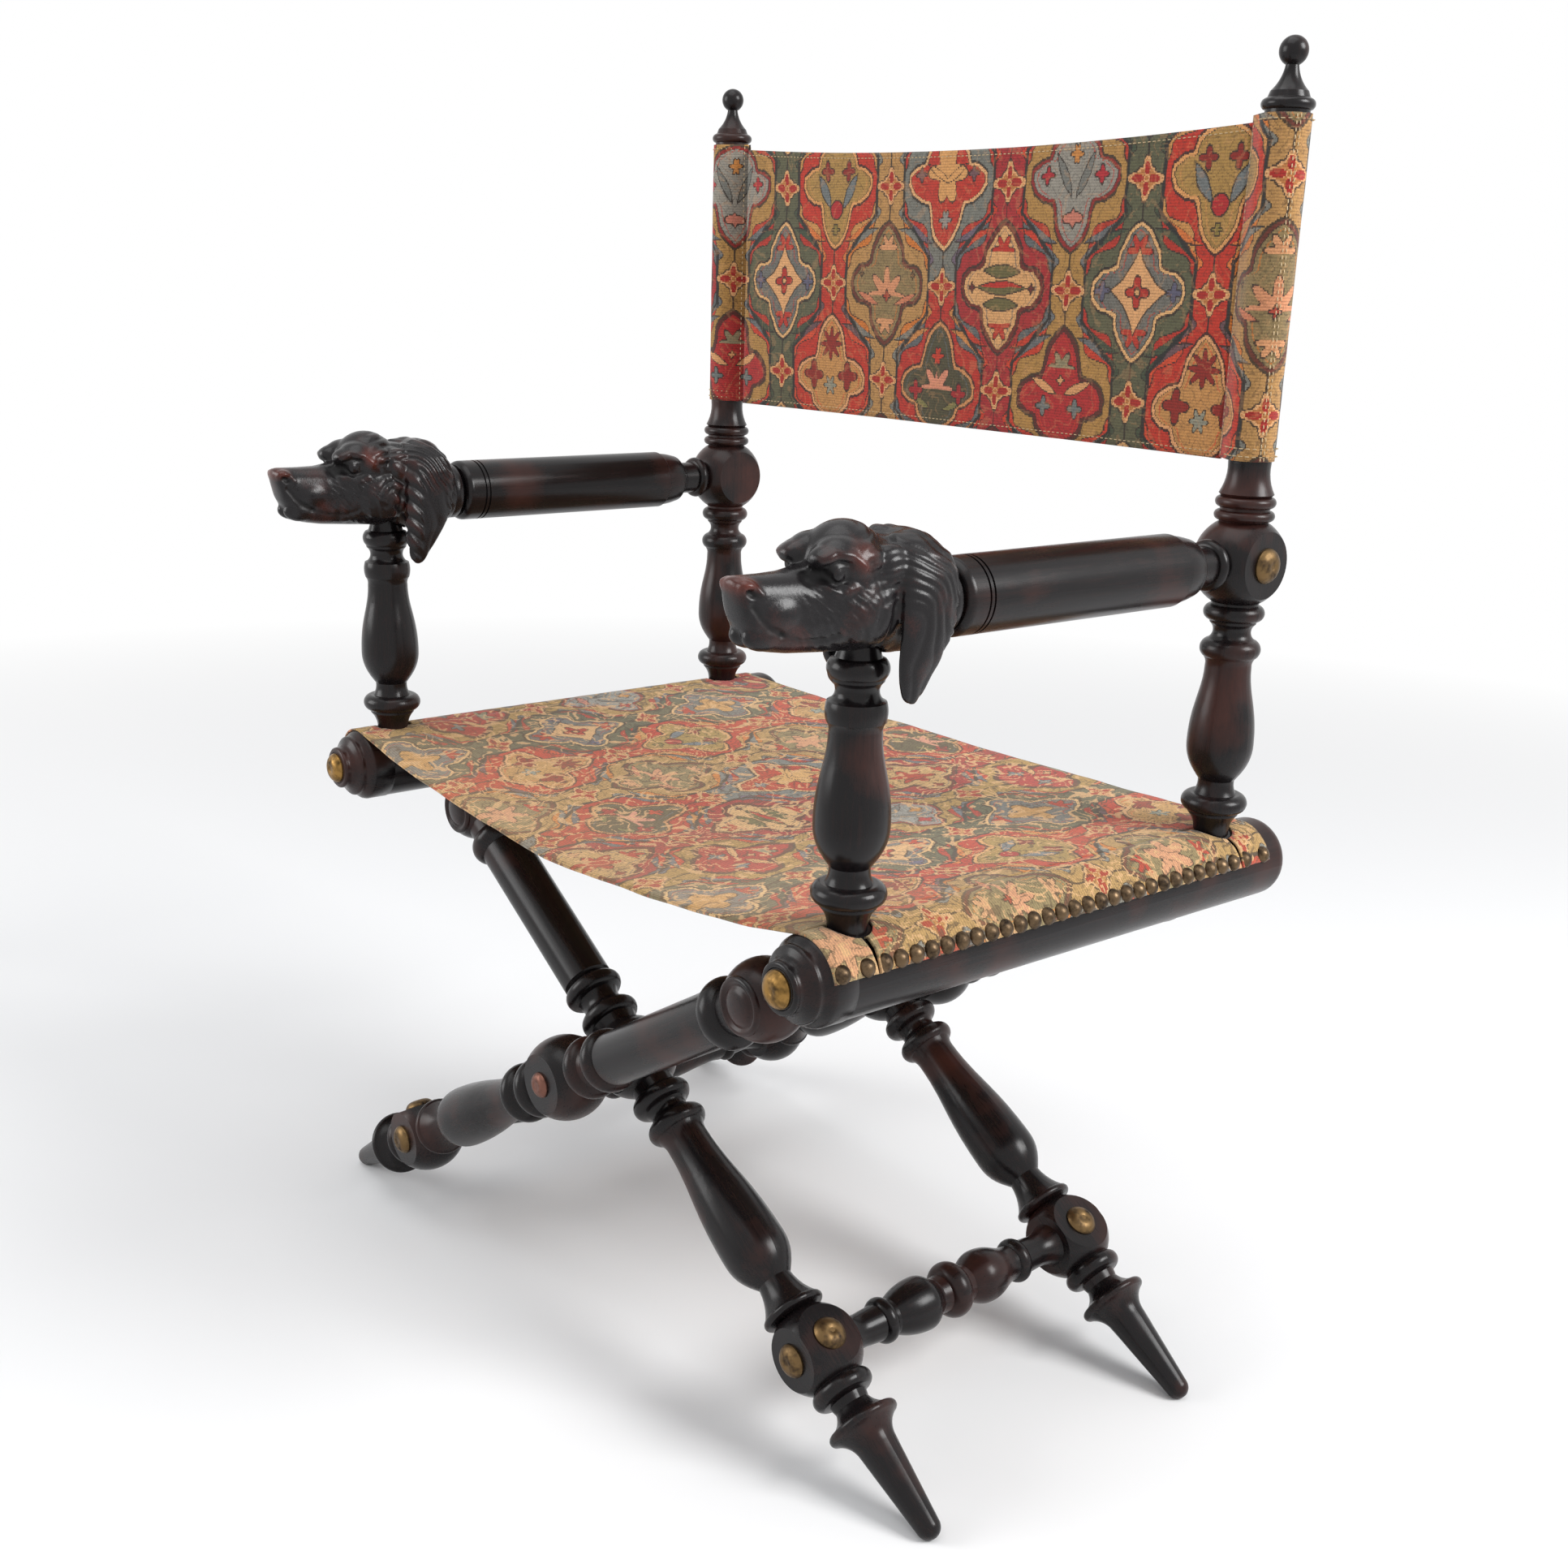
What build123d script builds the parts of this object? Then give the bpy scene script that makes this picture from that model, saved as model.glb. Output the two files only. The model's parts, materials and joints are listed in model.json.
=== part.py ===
"""Folding X-frame armchair: turned side frames, hinged crossed legs, slung seat and back.

Frame: +X to the right as seen from in front of the chair, the sitter faces -Y, +Z is up.
The origin is on the floor, under the middle of the chair.  Lengths are in millimetres.

Each side frame (seat rail, two posts, arm, hound's head) stays upright while the two leg frames
turn on pins in the battens under the rails and on the pivot pins where the legs cross.
"""

import os
from math import atan2, ceil, cos, degrees, hypot, radians, sin, sqrt, tan

from build123d import *

os.makedirs("parts", exist_ok=True)

# Overall layout
rail_spacing = 626.0          # between the axes of the two seat rails
rail_height = 430.0           # rail axes above the floor
rail_length = 494.0
rail_overhang = 63.5          # rail behind the rear post's axis
front_post_inset = 56.5       # front post's axis behind the rail's front end
nose_reach = 103.0            # hound's nose in front of the front post's axis
arm_height = 668.5            # arm axes above the floor
upright_height = 979.0        # top of the rear upright, under the finial
pivot_height = 237.0          # crossing of the legs above the floor
knuckle_inset = 62.0          # knuckle pin inboard of the rail axis
knuckle_drop = 38.0           # knuckle pin below the rail axis
leg_a_spread = 413.0          # front leg to rear leg of the outer frame
leg_pitch = 67.0              # a leg of the outer frame to its neighbour in the inner frame
folded_lean = 6.5             # legs from upright when folded, in degrees

# Fits
running_clearance = 0.06      # radial, pin in bore
side_clearance = 0.4          # between faces that turn past each other
cloth_gap = 0.3               # between cloth and what moves past it

# Seat rail
rail_radius = 31.0
rail_cap_radius = 13.5        # small end of the front cone
rail_cone_length = 19.0
rail_cap_length = 40.0        # cone, rim, grooves and bead
rail_end_round = 12.0
seat_depth_in_rail = 4.0      # depth of the flat that a post's foot stands on
post_foot_radius = 13.5
post_tenon_radius = 9.0
post_tenon_length = 26.0

# Posts
ring_radius = 25.0            # large ring above the foot
belly_radius = 25.0
neck_radius = 13.7
front_collar_radius = 20.0
rear_collar_radius = 22.5
cove_radius = 14.0
head_seat_drop = 12.5         # front post's top below the arm's axis
post_top_radius = 14.0
head_tenon_radius = 7.0
head_tenon_length = 14.0

# Ball block of the rear post, upright and finial
ball_radius = 34.5
facet_distance = 24.0         # flat disc from the ball's centre
upright_radius = 15.5
upright_base = 72.0           # upright starts this far above the arm's axis
finial_flange_radius = 18.5
finial_height = 47.5
finial_ball_radius = 10.0
finial_tenon_radius = 6.0
finial_tenon_length = 18.0

# Arm and hound's head
arm_radius = 26.0
arm_front_radius = 22.5
arm_tenon_radius = 8.0
arm_tenon_length = 14.0
head_length_behind_post = 69.0
head_collar_radius = 23.5
head_collar_length = 8.0
head_neck_length = 2.5
nose_rise = 24.5              # nose above the arm's axis
skull_rise = 56.5             # crown above the arm's axis
skull_half_width = 31.0
skull_half_height = 37.5
eye_radius = 6.0

# Legs, measured along the leg from the pivot
leg_radius = 21.3
leg_ring_radius = 25.3
leg_top_ring_radius = 26.5
leg_block_radius = 35.0
leg_facet_distance = 24.5
knuckle_radius = 30.0
knuckle_half_thickness = 21.0
knuckle_crown_radius = 8.0    # flat on the knuckle's crown
lower_block_rise = 165.0      # lower block's centre above the point where the axis meets the floor
leg_belly_radius = 26.8
leg_belly_rise = 92.0         # belly above the lower block's centre
leg_belly_top = 88.0          # end of the belly below the pivot
leg_waist_radius = 18.0
leg_neck_radius = 14.2
foot_collar_radius = 29.0
foot_tip_radius = 9.5
foot_flat_radius = 4.5

# Pins, studs, battens and stretchers
pivot_pin_radius = 6.0
pivot_head_radius = 10.5
knuckle_pin_radius = 5.0
knuckle_pin_depth = 30.0
spacer_radius = 18.0
stud_radius = 13.0
stud_rise = 6.0
stud_shank_radius = 3.0
stud_shank_length = 11.0
stretcher_tenon_radius = 9.0
stretcher_tenon_length = 15.0
stretcher_belly_radius = 22.0
batten_width = 22.0
batten_inner_inset = 29.0     # batten's inner face inboard of the rail axis
batten_drop = 36.0            # batten's underside below the rail axis
batten_front_reach = 28.0     # batten beyond a leg's axis
batten_slant = 16.0
lug_thickness = 22.0
lug_radius = 16.0
screw_radius = 2.4
screw_head_radius = 4.6
screw_head_depth = 3.0
screw_length = 24.0
screw_spacing = 72.0

# Cloth and nails
cloth_thickness = 1.6
seat_cloth_front = 35.5       # cloth in front of the front post's axis
seat_cloth_rear = 36.5        # cloth behind the rear post's axis
seat_front_sag = 31.0
seat_rear_sag = 4.0
wrap_lower_angle = 8.0        # cloth's outer edge above the rail's horizontal, in degrees
wrap_inner_angle = 102.0      # where the cloth leaves the rail
slit_width = 4.0
nail_angle = 24.0
nail_pitch = 13.5
nail_head_radius = 5.0
nail_head_rise = 2.6
nail_shank_radius = 1.3
nail_shank_length = 9.0
sleeve_thickness = 1.8
seam_inset = 26.5             # back panel's seam inboard of the upright's axis
back_panel_thickness = 3.2
back_bottom = 741.0
back_top = 972.0
back_top_sag = 9.0

# Derived places
half_spacing = rail_spacing / 2
depth = nose_reach + rail_length - front_post_inset
rail_rear_y = depth / 2
rail_front_y = rail_rear_y - rail_length
front_post_y = rail_front_y + front_post_inset
rear_post_y = rail_rear_y - rail_overhang
leg_centre_y = (rail_front_y + rail_rear_y) / 2
foot_seat_z = rail_height + rail_radius - seat_depth_in_rail
knuckle_x = half_spacing - knuckle_inset
knuckle_z = rail_height - knuckle_drop
leg_slope = atan2(knuckle_z - pivot_height, knuckle_x)
upper_length = hypot(knuckle_x, knuckle_z - pivot_height)
foot_centre_z = sqrt(foot_tip_radius**2 - foot_flat_radius**2)
foot_reach = (pivot_height - foot_centre_z) / sin(leg_slope)
block_reach = pivot_height / sin(leg_slope) - lower_block_rise
block_x = block_reach * cos(leg_slope)
block_z = pivot_height - block_reach * sin(leg_slope)
fold_angle = 90.0 - degrees(leg_slope) - folded_lean
cloth_front_y = front_post_y - seat_cloth_front
cloth_rear_y = rear_post_y + seat_cloth_rear
head_rear_y = front_post_y + head_length_behind_post
leg_a_y = (leg_centre_y - leg_a_spread / 2, leg_centre_y + leg_a_spread / 2)
leg_b_y = (leg_a_y[0] + leg_pitch, leg_a_y[1] - leg_pitch)

LEFT, RIGHT = -1, 1
FRONT, REAR = -1, 1
SIDES = {"left": LEFT, "right": RIGHT}
ENDS = {"front": FRONT, "rear": REAR}


class Turning:
    """Half outline of a turned piece, drawn inside a BuildLine from its lower end up.

    x is the radius and y the height along the turning axis.
    """

    def __init__(self, height, radius, rounded=False):
        """Start at the axis, straight out to the radius or round a tip of that radius."""
        self.first_height = height - radius if rounded else height
        self.height = height
        self.radius = radius
        if rounded:
            slant = radius * sin(radians(45))
            ThreePointArc((0, self.first_height), (slant, height - slant), (radius, height))
        else:
            Line((0, height), (radius, height))

    def _go(self, height, radius):
        self.height = height
        self.radius = radius

    def to(self, height, radius):
        """Straight to a new height and radius; a square shoulder where the height stays."""
        Line((self.radius, self.height), (radius, height))
        self._go(height, radius)

    def bead(self, height, radius):
        """Half-round ring out to a radius and back."""
        middle = (self.height + height) / 2
        ThreePointArc((self.radius, self.height), (radius, middle), (self.radius, height))
        self._go(height, self.radius)

    def arc(self, height, radius, bulge):
        """Arc to a new height and radius, standing proud of the chord by the bulge."""
        rise, run = height - self.height, radius - self.radius
        chord = hypot(rise, run)
        middle = (
            (self.radius + radius) / 2 + bulge * rise / chord,
            (self.height + height) / 2 - bulge * run / chord,
        )
        ThreePointArc((self.radius, self.height), middle, (radius, height))
        self._go(height, radius)

    def shoulder(self, height, radius):
        """Rounded shoulder that runs along the axis at its larger end."""
        rise, run = height - self.height, abs(radius - self.radius)
        self.arc(height, radius, hypot(rise, run) / 2 * tan(atan2(run, rise) / 2))

    def ball(self, centre, radius, end_radius):
        """Neck to a ball, round it, and stop where it has narrowed to the end radius."""
        self.to(centre - sqrt(radius**2 - self.radius**2), self.radius)
        end = centre + sqrt(radius**2 - end_radius**2)
        ThreePointArc((self.radius, self.height), (radius, centre), (end_radius, end))
        self._go(end, end_radius)

    def hollow(self, centre, radius, end_radius):
        """Shoulder hollowed to sit on a ball, in to the end radius."""
        middle_radius = (self.radius + end_radius) / 2
        middle = centre - sqrt(radius**2 - middle_radius**2)
        end = centre - sqrt(radius**2 - end_radius**2)
        ThreePointArc((self.radius, self.height), (middle_radius, middle), (end_radius, end))
        self._go(end, end_radius)

    def vase(self, belly, belly_r, height, radius):
        """Swell to a belly and draw in again, with both ends running along the axis."""
        start = (self.radius, self.height)
        rise, fall = belly - self.height, height - belly
        Bezier(
            start,
            (self.radius + 0.35 * (belly_r - self.radius), self.height + 0.2 * rise),
            (belly_r, self.height + 0.5 * rise),
            (belly_r, belly),
        )
        Bezier((belly_r, belly), (belly_r, belly + 0.5 * fall), (radius, height - 0.35 * fall), (radius, height))
        self._go(height, radius)

    def finish(self):
        """Close the outline along the axis."""
        Line((self.radius, self.height), (0, self.height))
        Line((0, self.height), (0, self.first_height))


def section(axis_plane):
    """Plane through a turning axis, with x out from the axis and y along it."""
    return Plane(origin=axis_plane.origin, x_dir=axis_plane.x_dir, z_dir=axis_plane.y_dir * -1)


def axis_of(plane):
    """Axis through a plane's origin, along its normal."""
    return Axis(plane.origin, plane.z_dir)


def upright_axis(side, y):
    """Vertical turning axis in a side frame, with heights above the floor."""
    return Plane(origin=(side * half_spacing, y, 0), z_dir=(0, 0, 1))


def lengthwise_axis(x, y, z, direction=REAR):
    """Turning axis that runs along Y from a point."""
    return Plane(origin=(x, y, z), x_dir=(1, 0, 0), z_dir=(0, direction, 0))


def outward_face(side, y, z, distance):
    """Plane on a side frame's outer face, looking away from the chair."""
    return Plane(origin=(side * (half_spacing + distance), y, z), x_dir=(0, 1, 0), z_dir=(side, 0, 0))


def across(y):
    """Upright plane across the chair, drawn as seen from in front."""
    return Plane(origin=(0, y, 0), x_dir=(1, 0, 0), z_dir=(0, -1, 0))


def save(piece, name):
    """Label a finished piece and write it."""
    piece.part.label = name
    export_step(piece.part, f"parts/{name}.step")


def facet_circle(radius, distance):
    """Radius of the flat disc that a cut at a distance leaves on a ball."""
    return sqrt(radius**2 - distance**2) + 0.5


def cut_facet(plane, radius, distance):
    """Cut one flat disc on the ball of the part being built; the plane lies on the disc."""
    with BuildSketch(plane) as disc:
        Circle(facet_circle(radius, distance))
    extrude(disc.sketch, amount=radius, mode=Mode.SUBTRACT)


def bore(plane, radius, length):
    """Drill from a plane, against its normal, into the part being built."""
    with BuildSketch(plane) as hole:
        Circle(radius)
    extrude(hole.sketch, amount=-length, mode=Mode.SUBTRACT)


def draw_stud(plane):
    """Add a domed brass stud that sits on a plane, with its shank below."""
    with BuildSketch(section(plane)) as half:
        with BuildLine():
            stud = Turning(-stud_shank_length, stud_shank_radius)
            stud.to(0, stud_shank_radius)
            stud.to(0, stud_radius)
            stud.to(1.2, stud_radius)
            stud.arc(stud_rise, 2.0, 2.4)
            stud.finish()
        make_face()
    revolve(half.sketch, axis=axis_of(plane))


# Seat rails


def rail_screw_ys():
    """Places of the batten screws along a rail."""
    return [leg_centre_y + step * screw_spacing / 2 for step in (-1, 0, 1)]


def screw_x(side):
    """Batten's centre line."""
    return side * (half_spacing - batten_inner_inset + batten_width / 2)


def make_rail(side):
    """Turned rail with a coned and grooved front cap."""
    axis = lengthwise_axis(side * half_spacing, rail_front_y, rail_height)
    with BuildPart() as rail:
        with BuildSketch(section(axis)):
            with BuildLine():
                outline = Turning(0, rail_cap_radius)
                outline.to(rail_cone_length, rail_radius - 3.0)
                outline.shoulder(rail_cone_length + 7, rail_radius)
                outline.to(rail_cone_length + 10, rail_radius - 2.6)
                outline.to(rail_cone_length + 12, rail_radius - 2.6)
                outline.bead(rail_cap_length - 2, rail_radius)
                outline.to(rail_cap_length, rail_radius - 2.6)
                outline.to(rail_cap_length, rail_radius)
                outline.to(rail_length - rail_end_round, rail_radius)
                outline.shoulder(rail_length, rail_radius - rail_end_round)
                outline.finish()
            make_face()
        revolve(axis=axis_of(axis))
        for y in (front_post_y, rear_post_y):
            foot_seat = Plane(origin=(side * half_spacing, y, foot_seat_z), z_dir=(0, 0, 1))
            with BuildSketch(foot_seat):
                Circle(post_foot_radius)
            extrude(amount=rail_radius, mode=Mode.SUBTRACT)
            bore(foot_seat, post_tenon_radius, post_tenon_length)
        bore(lengthwise_axis(side * half_spacing, rail_front_y, rail_height, FRONT), stud_shank_radius,
             stud_shank_length)
        for y in rail_screw_ys():
            screw_tip = Plane(origin=(screw_x(side), y, rail_height - batten_drop + screw_length), z_dir=(0, 0, 1))
            bore(screw_tip, screw_radius, screw_length)
    return rail


# Posts


def draw_baluster(outline, collar_radius):
    """Foot, ring, belly and double collar that both posts share, up to the arm's level."""
    foot = foot_seat_z
    collar = arm_height - 71.5
    outline.to(foot, post_tenon_radius)
    outline.to(foot, post_foot_radius)
    outline.to(foot + 4, post_foot_radius)
    outline.arc(foot + 18, 19.0, -1.5)
    outline.to(foot + 20, 19.0)
    outline.bead(foot + 34, ring_radius)
    outline.to(foot + 34, 16.0)
    outline.arc(foot + 45, neck_radius, -1.0)
    outline.vase(foot + 73, belly_radius, collar - 7, 17.2)
    outline.arc(collar, 19.0, -0.8)
    outline.bead(collar + 13, collar_radius)
    outline.to(collar + 14, 17.0)
    outline.arc(collar + 26, 17.0, cove_radius - 17.0)
    outline.to(collar + 28, 17.5)
    outline.bead(collar + 40, collar_radius)


def make_front_post(side):
    """Turned post from the rail up to the hound's neck."""
    axis = upright_axis(side, front_post_y)
    top = arm_height - head_seat_drop
    with BuildPart() as post:
        with BuildSketch(section(axis)):
            with BuildLine():
                outline = Turning(foot_seat_z - post_tenon_length + 1, post_tenon_radius)
                draw_baluster(outline, front_collar_radius)
                outline.to(outline.height + 1, 15.0)
                outline.arc(top, post_top_radius, -1.6)
                outline.to(top, head_tenon_radius)
                outline.to(top + head_tenon_length, head_tenon_radius)
                outline.finish()
            make_face()
        revolve(axis=axis_of(axis))
    return post


def make_rear_post(side):
    """Turned post with the ball block at arm height and the upright that carries the back."""
    axis = upright_axis(side, rear_post_y)
    with BuildPart() as post:
        with BuildSketch(section(axis)):
            with BuildLine():
                outline = Turning(foot_seat_z - post_tenon_length + 1, post_tenon_radius)
                draw_baluster(outline, rear_collar_radius)
                outline.ball(arm_height, ball_radius, 17.5)
                outline.to(arm_height + 30.5, 18.0)
                outline.bead(arm_height + 38, rear_collar_radius - 0.5)
                outline.to(arm_height + 40, 18.0)
                outline.bead(arm_height + 48, rear_collar_radius - 0.5)
                outline.to(arm_height + 50, 20.0)
                outline.arc(arm_height + upright_base, upright_radius, -1.8)
                outline.to(upright_height, upright_radius)
                outline.finish()
            make_face()
        revolve(axis=axis_of(axis))
        for face_side in (LEFT, RIGHT):
            disc = Plane(
                origin=(side * half_spacing + face_side * facet_distance, rear_post_y, arm_height),
                x_dir=(0, 1, 0),
                z_dir=(face_side, 0, 0),
            )
            cut_facet(disc, ball_radius, facet_distance)
        bore(outward_face(side, rear_post_y, arm_height, facet_distance), stud_shank_radius, stud_shank_length)
        arm_socket = lengthwise_axis(side * half_spacing, rear_post_y - ball_radius, arm_height, FRONT)
        bore(arm_socket, arm_tenon_radius, arm_tenon_length + ball_radius - arm_shoulder_distance())
        bore(Plane(origin=(side * half_spacing, rear_post_y, upright_height), z_dir=(0, 0, 1)),
             finial_tenon_radius, finial_tenon_length)
    return post


def make_finial(side):
    """Flanged cone and ball on top of the upright."""
    axis = upright_axis(side, rear_post_y)
    ball_centre = upright_height + finial_height - finial_ball_radius
    with BuildPart() as finial:
        with BuildSketch(section(axis)):
            with BuildLine():
                outline = Turning(upright_height - finial_tenon_length + 1, finial_tenon_radius)
                outline.to(upright_height, finial_tenon_radius)
                outline.to(upright_height, 16.5)
                outline.bead(upright_height + 7, finial_flange_radius)
                outline.to(upright_height + 8, 14.5)
                outline.to(upright_height + 12, 13.0)
                outline.arc(ball_centre - 9, 4.6, -1.6)
                outline.to(ball_centre - sqrt(finial_ball_radius**2 - 4.6**2), 4.6)
                tip = ball_centre + finial_ball_radius
                ThreePointArc((4.6, outline.height), (finial_ball_radius, ball_centre), (0, tip))
                Line((0, tip), (0, outline.first_height))
            make_face()
        revolve(axis=axis_of(axis))
    return finial


# Arms


def arm_shoulder_distance():
    """Distance from the ball's centre at which the arm's neck meets the ball."""
    return sqrt(ball_radius**2 - 14.0**2)


def make_arm(side):
    """Turned arm from the hound's collar to the ball block."""
    axis = lengthwise_axis(side * half_spacing, head_rear_y, arm_height)
    ball = rear_post_y - head_rear_y
    with BuildPart() as arm:
        with BuildSketch(section(axis)):
            with BuildLine():
                outline = Turning(1 - arm_tenon_length, arm_tenon_radius)
                outline.to(0, arm_tenon_radius)
                outline.to(0, arm_front_radius)
                outline.shoulder(6, arm_radius)
                for groove in (17.0, 21.0):
                    outline.to(groove, arm_radius)
                    outline.to(groove, arm_radius - 1.2)
                    outline.to(groove + 1.6, arm_radius - 1.2)
                    outline.to(groove + 1.6, arm_radius)
                outline.to(ball - 86, arm_radius)
                outline.to(ball - 84, arm_radius - 1.6)
                outline.arc(ball - 67, arm_radius - 4.2, 0.6)
                outline.shoulder(ball - 63, 15.5)
                outline.bead(ball - 58, 17.0)
                outline.to(ball - 57, 14.5)
                outline.to(ball - 43, 14.5)
                outline.bead(ball - 33, 19.0)
                outline.to(ball - 33, 14.0)
                outline.to(ball - arm_shoulder_distance(), 14.0)
                outline.hollow(ball, ball_radius, arm_tenon_radius)
                outline.to(ball - arm_shoulder_distance() + arm_tenon_length - 1, arm_tenon_radius)
                outline.finish()
            make_face()
        revolve(axis=axis_of(axis))
    return arm


# Hound's heads


def head_sections():
    """Sections of a head: (behind the post, centre above the arm's axis, half width, half height)."""
    nape = head_length_behind_post - head_collar_length - head_neck_length
    return (
        (-nose_reach, nose_rise, 7.5, 5.0),
        (4.0 - nose_reach, nose_rise - 4.0, 11.5, 9.5),
        (13.0 - nose_reach, nose_rise - 11.0, 15.0, 17.5),
        (27.0 - nose_reach, nose_rise - 13.0, 18.0, 21.0),
        (50.0 - nose_reach, nose_rise - 13.5, 22.0, 23.5),
        (66.0 - nose_reach, nose_rise - 9.5, skull_half_width - 5.0, 28.5),
        (103.5 - nose_reach, skull_rise - skull_half_height, skull_half_width, skull_half_height),
        (130.5 - nose_reach, skull_rise - skull_half_height - 3.0, skull_half_width, skull_half_height - 1.0),
        (nape - 8.0, 5.0, skull_half_width - 3.0, 31.0),
        (nape, 1.5, head_collar_radius, head_collar_radius + 2.0),
    )


# Ear, from root to tip: (above the arm's axis, behind the nose, beside the head's middle, half length, half thickness)
ear_sections = (
    (47.0, 114.5, 19.0, 9.0, 5.0),
    (32.0, 119.0, 27.0, 19.0, 7.0),
    (5.0, 119.5, 33.0, 22.0, 6.0),
    (-20.0, 116.5, 34.0, 18.0, 5.0),
    (-42.0, 113.5, 33.0, 11.0, 4.0),
    (-54.0, 115.5, 32.5, 4.0, 2.0),
)

# Brow, eye and upper lip: (above the arm's axis, behind the nose, beside the head's middle, radius)
face_bumps = (
    (35.5, 66.5, 14.5, 9.0),
    (28.0, 62.0, 19.0, eye_radius),
    (2.0, 37.5, 11.0, 11.0),
)

# Parting of the lips, from the nose back and forward again: (behind the nose, above the arm's axis)
upper_lip = ((0.0, 16.0), (22.5, -1.0), (58.5, -7.0))
lower_lip = ((40.5, -8.5), (17.5, -2.0), (0.0, 8.0))


def make_dog_head(side):
    """Hound's head: skull, brows, eyes, parted lips, hanging ears and rear collar."""
    head_x = side * half_spacing
    nose_y = front_post_y - nose_reach
    with BuildPart() as head:
        for behind, centre, half_width, half_height in head_sections():
            with BuildSketch(lengthwise_axis(head_x, front_post_y + behind, arm_height + centre)):
                Ellipse(half_width, half_height)
        loft()
        nape_y = head_rear_y - head_collar_length - head_neck_length
        with BuildSketch(lengthwise_axis(head_x, nape_y, arm_height)):
            Circle(head_collar_radius)
        extrude(amount=head_collar_length)
        with BuildSketch(lengthwise_axis(head_x, nape_y, arm_height)):
            Circle(head_collar_radius - 4.0)
        extrude(amount=head_collar_length + head_neck_length)
        for face in (LEFT, RIGHT):
            for above, behind, beside, radius in face_bumps:
                with Locations((head_x + face * beside, nose_y + behind, arm_height + above)):
                    Sphere(radius)
            for above, behind, beside, half_length, half_thickness in ear_sections:
                ear_centre = (head_x + face * beside, nose_y + behind, arm_height + above)
                with BuildSketch(Plane(origin=ear_centre, z_dir=(0, 0, 1))):
                    Ellipse(half_thickness, half_length)
            loft()
        # mouth, parted from the nose back along the lips
        with BuildSketch(Plane(origin=(head_x, nose_y, arm_height), x_dir=(0, 1, 0), z_dir=(1, 0, 0))):
            with BuildLine():
                ThreePointArc(*upper_lip)
                Line(upper_lip[-1], lower_lip[0])
                ThreePointArc(*lower_lip)
                Line(lower_lip[-1], upper_lip[0])
            make_face()
        extrude(amount=2 * skull_half_width, both=True, mode=Mode.SUBTRACT)
        # seat and socket for the post, socket for the arm
        post_seat = Plane(origin=(head_x, front_post_y, arm_height - head_seat_drop), z_dir=(0, 0, -1))
        bore(post_seat, head_tenon_radius, head_tenon_length + 1.0)
        with BuildSketch(post_seat):
            Circle(post_top_radius)
        extrude(amount=skull_half_height, mode=Mode.SUBTRACT)
        bore(lengthwise_axis(head_x, head_rear_y, arm_height), arm_tenon_radius, arm_tenon_length)
    return head


# Legs


def leg_axis(foot_side, y):
    """Turning axis of a leg: origin at the pivot, up along the leg, x towards the outer upper side."""
    return Plane(
        origin=(0, y, pivot_height),
        x_dir=(foot_side * sin(leg_slope), 0, cos(leg_slope)),
        z_dir=(-foot_side * cos(leg_slope), 0, sin(leg_slope)),
    )


def leg_point(foot_side, y, along):
    """Point on a leg's axis, measured up from the pivot."""
    return leg_axis(foot_side, y).from_local_coords((0, 0, along))


def leg_face(foot_side, y, along, end, distance):
    """Plane on a flat disc of a leg, looking forwards or backwards."""
    centre = leg_point(foot_side, y, along)
    return Plane(origin=(centre.X, y + end * distance, centre.Z), x_dir=(1, 0, 0), z_dir=(0, end, 0))


def block_top_face(foot_side, y):
    """Plane on the disc of the lower block that looks outwards and up."""
    axis = leg_axis(foot_side, y)
    centre = axis.from_local_coords((leg_facet_distance, 0, -block_reach))
    return Plane(origin=centre, x_dir=(0, 1, 0), z_dir=axis.x_dir)


def draw_leg(outline):
    """Turned outline of a leg from the spike foot to the knuckle."""
    block = -block_reach
    outline.to(block - 84, 15.7)
    outline.arc(block - 67, foot_collar_radius - 1.5, -3.0)
    outline.bead(block - 61, foot_collar_radius)
    outline.arc(block - 49, leg_neck_radius, -2.5)
    outline.to(block - 43, leg_neck_radius + 1.5)
    outline.to(block - 42, 20.5)
    outline.bead(block - 28.5, leg_ring_radius - 0.3)
    outline.ball(block, leg_block_radius, 17.5)
    outline.to(block + 31.5, leg_ring_radius - 2)
    outline.bead(block + 38, leg_ring_radius + 0.3)
    outline.arc(block + 62, leg_neck_radius, -1.8)
    outline.vase(block + leg_belly_rise, leg_belly_radius, -leg_belly_top, leg_waist_radius)
    outline.arc(10 - leg_belly_top, 20.5, -0.8)
    for ring in (-78, -52):
        outline.bead(ring + 14, leg_ring_radius)
        outline.to(ring + 15, 18.5)
        if ring == -78:
            outline.arc(ring + 25, 18.5, -2.5)
            outline.to(ring + 26, 20.5)
    outline.ball(0, leg_block_radius, 18.5)
    for ring in (37, 66):
        outline.to(ring, 20.5)
        outline.bead(ring + 14, leg_ring_radius)
        outline.to(ring + 15, 18.5)
        if ring == 37:
            outline.arc(ring + 28, 18.5, -2.0)
    outline.to(84, leg_radius)
    outline.to(upper_length - 54, leg_radius)
    outline.bead(upper_length - 35, leg_top_ring_radius)
    outline.to(upper_length - 34, 19.5)


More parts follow.
